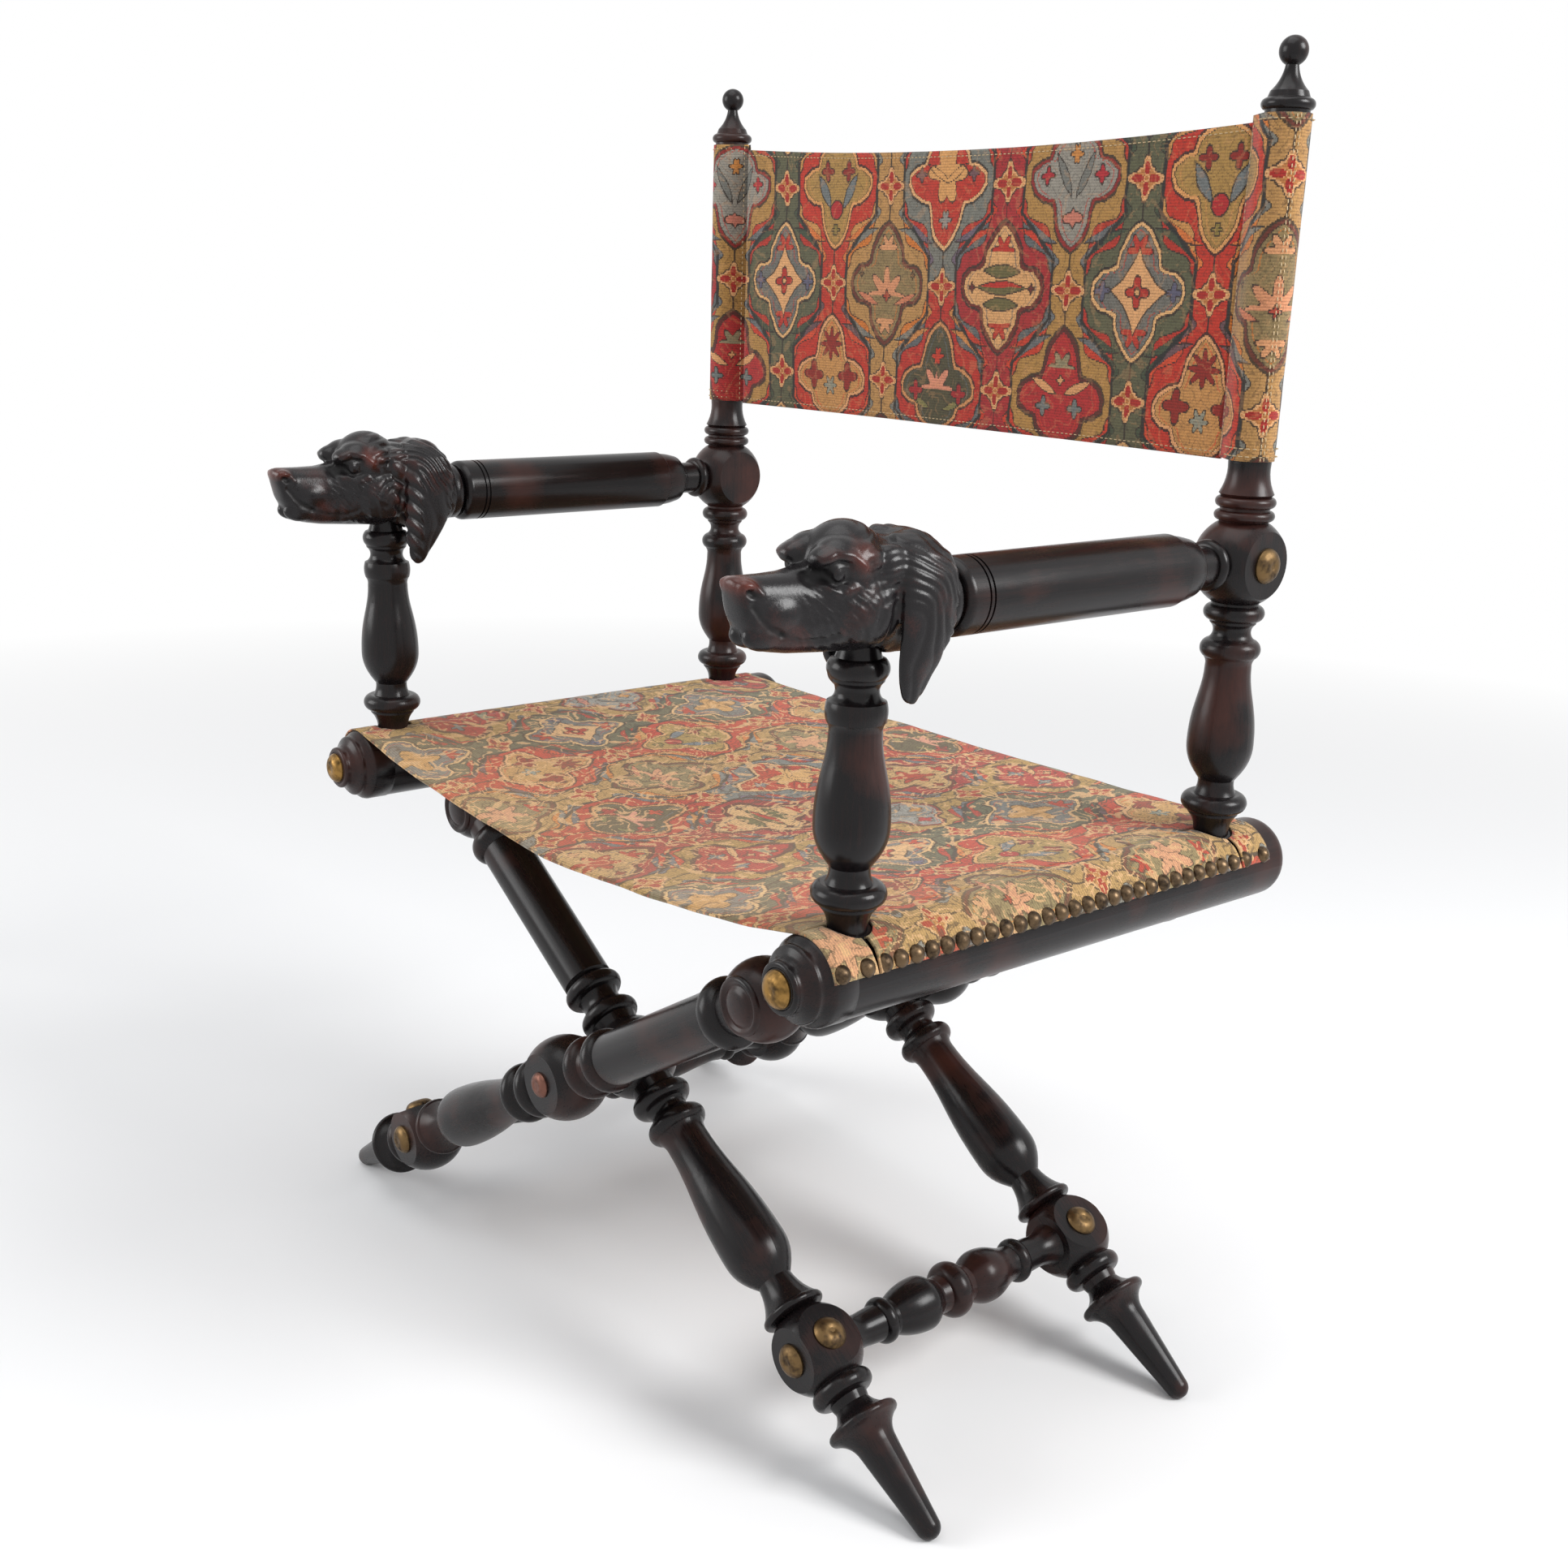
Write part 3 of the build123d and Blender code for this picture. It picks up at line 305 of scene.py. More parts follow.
@dataclass(frozen=True)
class Motif:
    """One medallion of the tapestry: its colours, and its flowers and leaves in millimetres from its middle.

    flower is petals, radius and height. pair is out, up and radius. core is petals, radius and height. leaf is
    out, up and turn in degrees, and leaf_size its half length and half width. tips are height, radius and petals.
    """

    ground: str
    field: str
    outline: str
    flame: str
    flame_core: str
    flower: tuple[float, float, float] = (4.0, 0.0, 0.0)
    flower_colour: str = "b3352c"
    fan: float = 0.0
    pair: tuple[float, float, float] = (30.0, 0.0, 0.0)
    pair_colour: str = "8a2a22"
    core: tuple[float, float, float] = (5.0, 0.0, 0.0)
    core_colour: str = "93a3a6"
    leaf: tuple[float, float, float] = (0.0, 0.0, 0.0)
    leaf_size: tuple[float, float] = (0.1, 0.1)
    leaf_colour: str = "6f8797"
    tips: tuple[float, float, float] = (33.0, 0.0, 0.0)
    tips_colour: str = "b5332b"
    star: float = 0.0
    stripes: float = 0.0


MOTIFS = (
    Motif("a62f38", "dcc08e", "6b2a25", "5f7483", "c8452f", pair=(33, 0, 4), pair_colour="6d2f2a",
          tips=(29, 13, 3), tips_colour="b8352a", stripes=1),
    Motif("b09a5c", "94a6ac", "8c2a2a", "b8402e", "6a7f90", flower=(3, 10, -28), flower_colour="c98f86",
          pair=(28, 4, 7), pair_colour="b02a3c", core=(5, 7, 20), core_colour="c99a55",
          leaf=(11, 4, 62), leaf_size=(19, 4), leaf_colour="74878f"),
    Motif("5b6a57", "6e7f86", "e2cb9a", "b5382b", "41584a", flower=(4, 12, 0), tips=(30, 13, 3), tips_colour="b83c30",
          pair=(35, 0, 8), pair_colour="5d6a92", core=(0, 3, 0), core_colour="dcc08e", star=31),
    Motif("c03c2c", "aa9a5c", "dfb77c", "c9a567", "d98a4a", flower=(0, 8, -19), flower_colour="b02a32",
          pair=(14, 13, 9), pair_colour="8a2a22", core=(5, 5, -36), core_colour="8a8a4a",
          leaf=(17, -4, 58), leaf_size=(17, 5)),
    Motif("b7a06a", "8d8b68", "6a3a30", "d08a3c", "7c8f95", flower=(8, 25, -10), flower_colour="d6a888", fan=1,
          leaf=(24, -12, 20), leaf_size=(15, 3), leaf_colour="c98d74", tips=(31, 12, 3), tips_colour="d6b08a",
          core=(4, 5, -10), core_colour="a84a3a", pair=(33, 8, 3), pair_colour="7b6a4a"),
    Motif("768a90", "bd3a2d", "e3c79a", "b8382e", "6a6a8a", flower=(5, 24, 9), flower_colour="d8b77c",
          core=(5, 8, -28), core_colour="8fa0ab", pair=(31, 8, 6), pair_colour="6e5a6a",
          leaf=(10, 8, 30), leaf_size=(17, 3), leaf_colour="a8382c"),
    Motif("a62f38", "c9b07c", "6b2a25", "5f7483", "c8452f", flower=(6, 20, 0), pair=(32, 0, 6), tips=(30, 12, 3)),
    Motif("b09a5c", "b02f36", "5a2a26", "c8452f", "6a7f90", flower=(6, 14, 22), flower_colour="8f9a86", fan=1,
          pair=(17, -9, 8), pair_colour="6f8794", core=(4, 4, 12), core_colour="dcb98a",
          leaf=(17, 7, 25), leaf_size=(15, 4), leaf_colour="dcb98a"),
    Motif("5b6a57", "6e7f86", "e2cb9a", "b5382b", "41584a", flower=(4, 24, 0), flower_colour="c9a567",
          tips=(31, 12, 3)),
    Motif("c03c2c", "c6a66c", "e2bd90", "d4593a", "6a5a6a", flower=(8, 15, 28), flower_colour="8e2a22",
          pair=(23, 0, 13), pair_colour="8e2a22", core=(6, 9, -9), core_colour="8fa6a4"),
    Motif("b7a06a", "8d8b68", "6a3a30", "d08a3c", "7c8f95", flower=(6, 22, 0), flower_colour="d6a888",
          tips=(31, 12, 3)),
    Motif("b8382e", "4d5541", "cfa574", "607484", "c99a5c", flower=(7, 21, -4), flower_colour="d9a492", fan=1,
          pair=(27, -6, 9), pair_colour="a02a32", core=(5, 8, 24), core_colour="c0452f",
          leaf=(20, -16, 20), leaf_size=(13, 3), leaf_colour="7d8a5c"),
)


class Outline(Enum):
    """Half width of a medallion in millimetres at heights from its middle."""

    EVEN = ((-60, 0), (-51.5, 0), (-49, 5), (-44, 11), (-38, 15), (-30, 20), (-19, 22), (-16, 27), (-14.5, 37),
            (-8, 44), (0, 46), (8, 44), (14.5, 37), (16, 27), (19, 22), (30, 20), (38, 15), (44, 11), (49, 5),
            (51.5, 0), (60, 0))
    ODD = ((-60, 0), (-53, 0), (-49, 6), (-42, 13), (-34, 17), (-20, 20), (-15.5, 22), (-14, 31), (-8, 41), (0, 46),
           (9, 45), (15, 36), (17, 27), (26, 24), (32, 17), (36, 8), (38, 0), (60, 0))


@dataclass(frozen=True)
class Tapestry:
    """Machine woven tapestry in wool and cotton: serpentine columns of medallions, ribbed across the cloth.

    The ribs and the yarn give it a dry, matt surface with no highlight, and the seat has faded where it is
    sat on and lit. Real ribs and yarns are about half as coarse, which would be too fine to show.
    """

    name: str
    fade: float
    # from column to column, and half the way from medallion to medallion up a column
    column_mm: float = 70.3
    row_mm: float = 81.0
    yarn_mm: float = 0.9
    rib_mm: float = 2.2
    rib_depth_mm: float = 0.35
    # the height and half width that a medallion's outline may have, and the outline's width
    reach_mm: float = 60.0
    line_mm: float = 1.9
    # how strong the scrolls are, how far the drawing wanders, how strong the loose threads and the front's fading
    scrolls: float = 0.38
    wander_mm: float = 3.0
    veins: float = 0.0
    front_fade: float = 0.0
    # sizes of the drift, the tangles of loose threads, the patches where they show, the fading and its front part
    drift_mm: float = 26.0
    tangle_mm: float = 34.0
    patch_mm: float = 21.0
    cloud_mm: float = 90.0
    front_mm: float = 180.0
    tone: str = "ffffff"
    cream: str = "dfc193"
    dark: str = "2c2724"
    faded: str = "c8ad80"

    def table(self, tree: bpy.types.NodeTree, pick: NodeSocket, colours: list[tuple]) -> NodeSocket:
        """Look a colour up by the motif's number.

        Args:
            tree: the material's tree.
            pick: the motif's number as a share of the table.
            colours: a value for each motif.

        Returns:
            The colour's socket.
        """
        node = put(tree, "ShaderNodeValToRGB", {0: pick})
        ramp = node.color_ramp
        ramp.interpolation = "CONSTANT"
        while len(ramp.elements) < len(colours):
            ramp.elements.new(1.0)
        for place, colour in enumerate(colours):
            ramp.elements[place].position = place / len(colours)
            ramp.elements[place].color = colour
        return node.outputs[0]

    def numbers(self, f: Formula, field: str, names: tuple[str, ...]) -> None:
        """Look up to three numbers up by the motif's number and name them in the formula.

        Args:
            f: the cloth's formula.
            field: the motif's field that holds the numbers.
            names: a name for each of them.
        """
        span = 2 * self.reach_mm + 40
        packed = []
        for motif in MOTIFS:
            shares = [value / span + 0.5 for value in getattr(motif, field)]
            packed.append((*shares, *[0.0] * (3 - len(shares)), 1.0))
        parts = put(f.tree, "ShaderNodeSeparateXYZ", {0: self.table(f.tree, f["pick"], packed)})
        for name, socket in zip(names, parts.outputs):
            f.names["packed"] = socket
            f.work_out(f"{name} = packed * {span} - {span / 2}")

    def flags(self, f: Formula) -> None:
        """Look up which motifs are fans, stars or striped, and name them in the formula.

        Args:
            f: the cloth's formula.
        """
        packed = [(motif.fan, motif.star / 100, motif.stripes, 1.0) for motif in MOTIFS]
        parts = put(f.tree, "ShaderNodeSeparateXYZ", {0: self.table(f.tree, f["pick"], packed)})
        f.names.update(zip(("fan", "star", "striped"), parts.outputs))

    def profile(self, f: Formula, shape: Outline, height: str, name: str) -> None:
        """Name the half width of a medallion's outline at a height.

        Args:
            f: the cloth's formula.
            shape: the outline.
            height: the height's name in the formula.
            name: the half width's new name.
        """
        f.work_out(f"place = {height} / {2 * self.reach_mm} + 0.5")
        node = put(f.tree, "ShaderNodeValToRGB", {0: f["place"]})
        ramp = node.color_ramp
        while len(ramp.elements) < len(shape.value):
            ramp.elements.new(1.0)
        for number, (at, half_width) in enumerate(shape.value):
            ramp.elements[number].position = at / (2 * self.reach_mm) + 0.5
            ramp.elements[number].color = (*[half_width / self.reach_mm] * 3, 1.0)
        f.names["packed"] = node.outputs[0]
        f.work_out(f"{name} = packed * {self.reach_mm}")

    def half_width(self, f: Formula, name: str, rise: float) -> None:
        """Name the medallion's half width a little above or below the point, in the shape of its own column.

        Args:
            f: the cloth's formula.
            name: the half width's new name.
            rise: how far above the point, in millimetres.
        """
        f.work_out(f"probe = turned + {rise}")
        self.profile(f, Outline.EVEN, "probe", "even_width")
        self.profile(f, Outline.ODD, "probe", "odd_width")
        f.work_out(f"{name} = odd_width + (even_width - odd_width) * even")

    def rose(self, f: Formula, name: str, across: str, up: str, radius: str, petals: str) -> None:
        """Name a flower's inside, and add its thin dark contour.

        Args:
            f: the cloth's formula.
            name: the flower's name.
            across: the distance from its middle across the cloth.
            up: the distance from its middle up the cloth.
            radius: its radius.
            petals: its number of petals.
        """
        f.work_out(f"""
            away = sqrt(({across}) * ({across}) + ({up}) * ({up}))
            rim = ({radius}) * (0.74 + 0.26 * cos(({petals}) * angle({up}, {across})))
            {name} = less(away, rim)
            contour = max(contour, less(abs(away - rim), 0.75) * more({radius}, 1.0))
        """)

    def columns(self, f: Formula) -> None:
        """Find the column and the medallion that a point lies in, and its place from the medallion's middle.

        Args:
            f: the cloth's formula.
        """
        drift = put(f.tree, "ShaderNodeTexNoise", {0: f["flat"], "Scale": 1 / self.drift_mm, "Detail": 2.0})
        shift = put(f.tree, "ShaderNodeSeparateXYZ", {0: drift.outputs["Color"]})
        f.names.update(drift_x=shift.outputs[0], drift_y=shift.outputs[1])
        f.work_out(f"""
            x = snap(u + {self.wander_mm} * (drift_x - 0.5), {self.yarn_mm})
            y = snap(v + {self.wander_mm} * (drift_y - 0.5), {self.yarn_mm * 1.25})
            w = x / {self.column_mm}
            swing = max(min(cos(y * {pi / self.row_mm}) * 1.55, 1.0), -1.0)
            even = less(abs(wrap(w, 1.0, -1.0)), 0.5 + 0.256 * swing)
            odd_column = floor(w * 0.5) * 2.0 + 1.0
            column = odd_column + (round(w * 0.5) * 2.0 - odd_column) * even
            odd_row = floor(y / {2 * self.row_mm})
            row = odd_row + (round(y / {2 * self.row_mm}) - odd_row) * even
            up = y - row * {2 * self.row_mm} - {self.row_mm} * (1.0 - even)
            out = abs(x - column * {self.column_mm})
            parity = wrap(row, 2.0, 0.0)
            pick = (wrap(column, 6.0, 0.0) + 6.0 * parity + 0.5) / 12.0
            level = abs(up)
            edge = (35.3 + 18.0 * swing * (2.0 * even - 1.0) - out) * 0.85
            turned = even * level + (1.0 - even) * up * (1.0 - 2.0 * parity)
            contour = less(edge, 1.5)
        """)
        cells = put(f.tree, "ShaderNodeCombineXYZ", {0: f["x"], 1: f["y"]})
        f.names["cells"] = cells.outputs[0]

    def medallion(self, f: Formula) -> None:
        """Draw the medallion's field and its outlines.

        Args:
            f: the cloth's formula.
        """
        self.half_width(f, "width", 0.0)
        self.half_width(f, "width_up", self.line_mm)
        self.half_width(f, "width_down", -self.line_mm)
        f.work_out(f"""
            field = more(width - out, 0.0)
            inset = min(min(width_up, width_down), width) - out - {self.line_mm}
            outset = out - max(max(width_up, width_down), width)
            outline = field * less(inset, 0.0)
            contour = max(contour, less(outset, 0.9) * (1.0 - field))
            contour = max(contour, field * less(abs(inset - 0.4), 0.45))
            echoed = field * less(abs(inset - 5.0), 0.55) * 0.75
        """)

    def grounds(self, f: Formula) -> None:
        """Draw what lies between the medallions: flames that hug the column's shoulders, and small scrolls.

        Args:
            f: the cloth's formula.
        """
        f.work_out(f"""
            window = less(level, 66.0) * more(level, 8.0)
            hump = max(1.0 - abs(level - 37.0) / 27.0, 0.0)
            tongue = hump * (7.0 + 12.0 * abs(wrap(level / 15.0 + edge / 17.0, 1.0, -1.0)))
            flame = less(edge, tongue) * window
            hump_core = max(1.0 - abs(level - 46.0) / 24.0, 0.0)
            tongue_core = hump_core * (2.0 + 12.0 * abs(wrap(level / 12.5 + 0.55 - edge / 11.0, 1.0, -1.0)))
            flame_core = less(edge, tongue_core) * window
            swell = max(1.0 - abs(level - 40.0) / 22.0, 0.0) * (0.6 + 0.4 * sin(level / 2.3))
            shoulder = less(edge, 0.8 + 3.4 * swell)
            free = window * (1.0 - field)
            contour = max(contour, less(abs(edge - tongue), 0.7) * free)
            contour = max(contour, less(abs(edge - tongue_core), 0.5) * free * more(tongue_core, 1.0))
            scroll = sin(out / 3.6 + 1.7 * sin(up / 5.3)) * cos(up / 4.4 + 1.4 * sin(out / 6.1))
            scrolled = less(abs(scroll - 0.2), 0.085) * {self.scrolls} * (1.0 - outline)
        """)

    def flowers(self, f: Formula) -> None:
        """Draw the flowers, leaves, star and stripes inside the medallion.

        Args:
            f: the cloth's formula.
        """
        self.rose(f, "flower", "out", "up - lift", "radius * (1.0 - fan * less(up - lift, 0.0))", "petals")
        self.rose(f, "pair", "out - pair_out", "up - pair_up", "pair_radius", "4.0")
        self.rose(f, "core", "out", "up - core_up", "core_radius", "core_petals")
        self.rose(f, "tips", "out", "level - tips_up", "tips_radius * more(level - tips_up, -2.0)", "tips_petals * 2.0")
        f.work_out(f"""
            turn = leaf_turn * {pi / 180}
            leaf_x = ((out - leaf_out) * cos(turn) + (up - leaf_up) * sin(turn)) / leaf_long
            leaf_y = ((up - leaf_up) * cos(turn) - (out - leaf_out) * sin(turn)) / leaf_wide
            leaf_edge = 1.0 - leaf_x * leaf_x - abs(leaf_y)
            leaf = more(leaf_edge, 0.0) * more(leaf_long, 1.0)
            contour = max(contour, less(abs(leaf_edge - 0.07), 0.12) * more(leaf_long, 1.0))
            star_edge = 1.0 - (out / (star * 95.0 + 0.01)) ** 0.74 - (level / (star * 108.0 + 0.01)) ** 0.74
            star_in = more(star_edge, 0.0)
            contour = max(contour, less(abs(star_edge), 0.03) * more(star, 0.01))
            band = round(up / 13.0)
            band_half = 27.0 - 7.0 * abs(band)
            lens = 5.4 * (1.0 - out * out / (band_half * band_half)) - abs(up - band * 13.0)
            banded = less(level, 19.5) * striped
            stripe = more(lens, 0.0) * banded
            stripe_red = stripe * less(abs(band), 0.5) * more(up, 0.0)
            contour = max(contour, less(abs(lens), 0.6) * banded)
        """)

    def crosses(self, f: Formula) -> None:
        """Draw the crosses in the necks between the medallions, which lie over the contours.

        Args:
            f: the cloth's formula.
        """
        f.work_out(f"""
            neck = {self.row_mm} - level
            spread = sqrt(out * out + neck * neck * 1.28)
            turn_round = cos(4.0 * angle(neck, out))
            cross_rim = 13.4 + 3.7 * turn_round + 1.5 * cos(8.0 * angle(neck, out))
            cross = less(spread, cross_rim)
            cross_fill = less(spread, cross_rim - 2.6)
            cross_rib = less(spread, 8.6 + 6.9 * turn_round) * more(spread, 2.0)
            cross_petal = less(spread, 7.4 + 6.4 * turn_round) * more(spread, 2.9)
            contour = max(contour * (1.0 - cross), less(abs(spread - cross_rim), 0.8)) * 0.92
            shoulder = shoulder * (1.0 - cross) * 0.9
        """)

    def paint(self, f: Formula) -> NodeSocket:
        """Lay the drawing's colours over each other.

        Args:
            f: the cloth's formula, with the share that each colour takes.

        Returns:
            The drawing's colour.
        """

        def own(field: str) -> NodeSocket:
            """The colour that a field gives each motif."""
            return self.table(f.tree, f["pick"], [linear(getattr(motif, field)) for motif in MOTIFS])

        flame = own("flame")
        shown = own("ground")
        for mask, colour in (
            ("flame", flame),
            ("flame_core", own("flame_core")),
            ("field", own("field")),
            ("echoed", flame),
            ("scrolled", linear(self.dark)),
            ("outline", own("outline")),
            ("tips", own("tips_colour")),
            ("leaf", own("leaf_colour")),
            ("star_in", linear(self.cream)),
            ("flower", own("flower_colour")),
            ("pair", own("pair_colour")),
            ("core", own("core_colour")),
            ("stripe", linear("68704a")),
            ("stripe_red", linear("b8342c")),
            ("cross", linear(self.cream)),
            ("cross_fill", linear("b98a52")),
            ("cross_rib", linear(self.cream)),
            ("cross_petal", linear("a82c26")),
            ("contour", linear(self.dark)),
            ("shoulder", linear("232b2e")),
        ):
            shown = put(f.tree, "ShaderNodeMix", {0: f[mask], 6: shown, 7: colour}, data_type="RGBA").outputs[2]
        return shown

    def fray(self, f: Formula, shown: NodeSocket) -> NodeSocket:
        """Break the drawing up with pale and dark threads that have worked loose, as on a seat that is used.

        Args:
            f: the cloth's formula.
            shown: the drawing's colour.

        Returns:
            The frayed colour.
        """
        tangle = {0: f["cells"], "Scale": 1 / self.tangle_mm, "Detail": 2.5, "Distortion": 0.9}
        field = put(f.tree, "ShaderNodeTexNoise", tangle)
        where = put(f.tree, "ShaderNodeTexNoise", {0: f["cells"], "Scale": 1 / self.patch_mm, "Detail": 1.0})
        f.names.update(drawn=field.outputs[0], part=where.outputs[0])
        f.work_out(f"""
            vein = wrap(drawn * 7.0, 1.0, 0.0)
            pale_vein = less(abs(vein - 0.56), 0.11) * less(part, 0.56) * {self.veins}
            dark_vein = less(vein, 0.13) * more(part, 0.44) * {self.veins} * 0.8
        """)
        for mask, colour in (("pale_vein", self.cream), ("dark_vein", self.dark)):
            frayed = {0: f[mask], 6: shown, 7: linear(colour)}
            shown = put(f.tree, "ShaderNodeMix", frayed, data_type="RGBA").outputs[2]
        return shown

    def weave(self, f: Formula, shown: NodeSocket) -> NodeSocket:
        """Fade and vary the drawn colours, darken them between the ribs and the yarns as painted shade, and name the
        height of the ribs and the yarn.

        Args:
            f: the cloth's formula.
            shown: the drawing's colour.

        Returns:
            The cloth's colour.
        """
        clouds = put(f.tree, "ShaderNodeTexNoise", {0: f["flat"], "Scale": 1 / self.cloud_mm, "Detail": 3.0})
        yarns = put(f.tree, "ShaderNodeTexWhiteNoise", {0: f["cells"]}, noise_dimensions="2D")
        f.names.update(cloud=clouds.outputs[0], yarn=yarns.outputs[0])
        # light is painted shade: darker in the grooves between the ribs and the yarn beads, with a random tone from
        # yarn to yarn
        f.work_out(f"""
            rib = abs(sin(v * {pi / self.rib_mm}))
            bead = abs(sin(u * {pi / (self.yarn_mm * 1.3)} + floor(v / {self.rib_mm}) * 1.6))
            front = {self.front_fade} * min(max(0.0 - v / {self.front_mm}, 0.0), 1.0)
            pale = min(max({self.fade} + front + (cloud - 0.5) * (0.12 + {self.fade}), 0.0), 0.9)
            light = 0.56 + 0.38 * sqrt(rib) + 0.06 * bead + 0.3 * (yarn - 0.5)
            height = rib + 0.35 * bead + 0.2 * yarn
        """)
        # painted shade of the ribs and yarns, multiplied into the colour
        painted_rib_shade = put(f.tree, "ShaderNodeCombineXYZ", {0: f["light"], 1: f["light"], 2: f["light"]})
        for share, colour, way in (
            (f["pale"], linear(self.faded), "MIX"),
            (1.0, painted_rib_shade.outputs[0], "MULTIPLY"),
            (1.0, linear(self.tone), "MULTIPLY"),
        ):
            mixed = {0: share, 6: shown, 7: colour}
            shown = put(f.tree, "ShaderNodeMix", mixed, data_type="RGBA", blend_type=way).outputs[2]
        return shown

    def material(self) -> bpy.types.Material:
        """Make the cloth's material.

        Returns:
            The material, which reads the UV map named cloth.
        """
        material, tree, shader = new_material(self.name)
        place = put(tree, "ShaderNodeSeparateXYZ", {0: put(tree, "ShaderNodeUVMap", uv_map="cloth").outputs[0]})
        f = Formula(tree, across=place.outputs[0], along=place.outputs[1])
        f.work_out(f"u = across * {1 / MM}\nv = along * {1 / MM}")
        f.names["flat"] = put(tree, "ShaderNodeCombineXYZ", {0: f["u"], 1: f["v"]}).outputs[0]
        self.columns(f)
        for field, names in (
            ("flower", ("petals", "radius", "lift")),
            ("pair", ("pair_out", "pair_up", "pair_radius")),
            ("core", ("core_petals", "core_radius", "core_up")),
            ("leaf", ("leaf_out", "leaf_up", "leaf_turn")),
            ("leaf_size", ("leaf_long", "leaf_wide")),
            ("tips", ("tips_up", "tips_radius", "tips_petals")),
        ):
            self.numbers(f, field, names)
        self.flags(f)
        self.medallion(f)
        self.grounds(f)
        self.flowers(f)
        self.crosses(f)
        colour = self.weave(f, self.fray(f, self.paint(f)))
        ribs = {"Height": f["height"], "Strength": 0.5, "Distance": self.rib_depth_mm * MM}
        bump = put(tree, "ShaderNodeBump", ribs)
        feed(tree, shader, {"Base Color": colour, "Normal": bump.outputs[0], "Roughness": 0.92, "IOR": 1.5,
                            "Sheen Weight": 0.12, "Sheen Roughness": 0.6})
        return material


@dataclass(frozen=True)
class Thread:
    """Waxed linen sewing thread: pale, with the slight gloss of its wax."""

    name: str = "linen_thread"
    colour: str = "d9c29a"
    shade: str = "a98f68"
    twist_mm: float = 0.8
    twist_depth_mm: float = 0.15

    def material(self) -> bpy.types.Material:
        """Make the thread's material.

        Returns:
            The material.
        """
        material, tree, shader = new_material(self.name)
        place = put(tree, "ShaderNodeTexCoord").outputs["Object"]
        twist = put(tree, "ShaderNodeTexNoise", {0: place, "Scale": 1 / (self.twist_mm * MM), "Detail": 2.0}).outputs[0]
        colour = put(tree, "ShaderNodeMix", {0: twist, 6: linear(self.colour), 7: linear(self.shade)}, data_type="RGBA")
        strands = {"Height": twist, "Strength": 0.4, "Distance": self.twist_depth_mm * MM}
        bump = put(tree, "ShaderNodeBump", strands)
        feed(tree, shader, {"Base Color": colour.outputs[2], "Normal": bump.outputs[0], "Roughness": 0.6})
        return material


# Meshes


def add_piece(name: str, mesh: bpy.types.Mesh, finish: bpy.types.Material | None = None) -> bpy.types.Object:
    """Put a mesh in the scene as one piece of the chair.

    Args:
        name: the piece's name.
        mesh: its mesh, in the chair's own frame.
        finish: its material, unless the mesh already has one.

    Returns:
        The new object.
    """
    piece = bpy.data.objects.new(name, mesh)
    bpy.context.scene.collection.objects.link(piece)
    if finish:
        mesh.materials.append(finish)
    log.info("%s: %d faces", name, len(mesh.polygons))
    return piece


def smooth(mesh: bpy.types.Mesh) -> None:
    """Shade a mesh smoothly."""
    mesh.polygons.foreach_set("use_smooth", [True] * len(mesh.polygons))


def cloth_rows(lines: int, columns: int, spot: Callable[[float, float], Spot]) -> list[list[Spot]]:
    """Lay an even grid of points, each given by its share of the way over the lines and over the columns."""
    return [[spot(line / lines, column / columns) for column in range(columns + 1)] for line in range(lines + 1)]


def cloth_mesh(name: str, rows: list[list[Spot]], holes: Sequence[tuple[int, int]] = ()) -> bpy.types.Mesh:
    """Make a grid of cloth from rows of points.

    Args:
        name: the mesh's name.
        rows: rows of equal length.
        holes: row and column of the cells that are left out.

    Returns:
        The mesh, with a UV map named cloth in metres.
    """
    width = len(rows[0])
    missing = set(holes)
    spots = [spot for row in rows for spot in row]
    faces = []
    for row in range(len(rows) - 1):
        for column in range(width - 1):
            if (row, column) not in missing:
                start = row * width + column
                faces.append((start, start + 1, start + width + 1, start + width))
    mesh = bpy.data.meshes.new(name)
    mesh.from_pydata([Vector(spot[:3]) * MM for spot in spots], [], faces)
    layer = mesh.uv_layers.new(name="cloth")
    for loop in mesh.loops:
        u, v = spots[loop.vertex_index][3:]
        layer.data[loop.index].uv = (u * MM, v * MM)
    smooth(mesh)
    mesh.validate()
    return mesh


def add_cloth(
    mesh: bpy.types.Mesh, finish: bpy.types.Material, thickness_mm: float, node: str, body: str
) -> bpy.types.Object:
    """Put a sheet in the scene in place of a plain solid, and give it its thickness, half to each side.

    Args:
        mesh: the sheet, which has the piece's name.
        finish: its material.
        thickness_mm: its thickness.
        node: the solid that it replaces.
        body: the moving body that it rides on.

    Returns:
        The piece.
    """
    piece = add_piece(mesh.name, mesh, finish)
    solid = piece.modifiers.new("thickness", "SOLIDIFY")
    solid.thickness = thickness_mm * MM
    solid.offset = 0.0
    solid.use_even_offset = False
    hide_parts(node)
    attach(piece, body)
    return piece


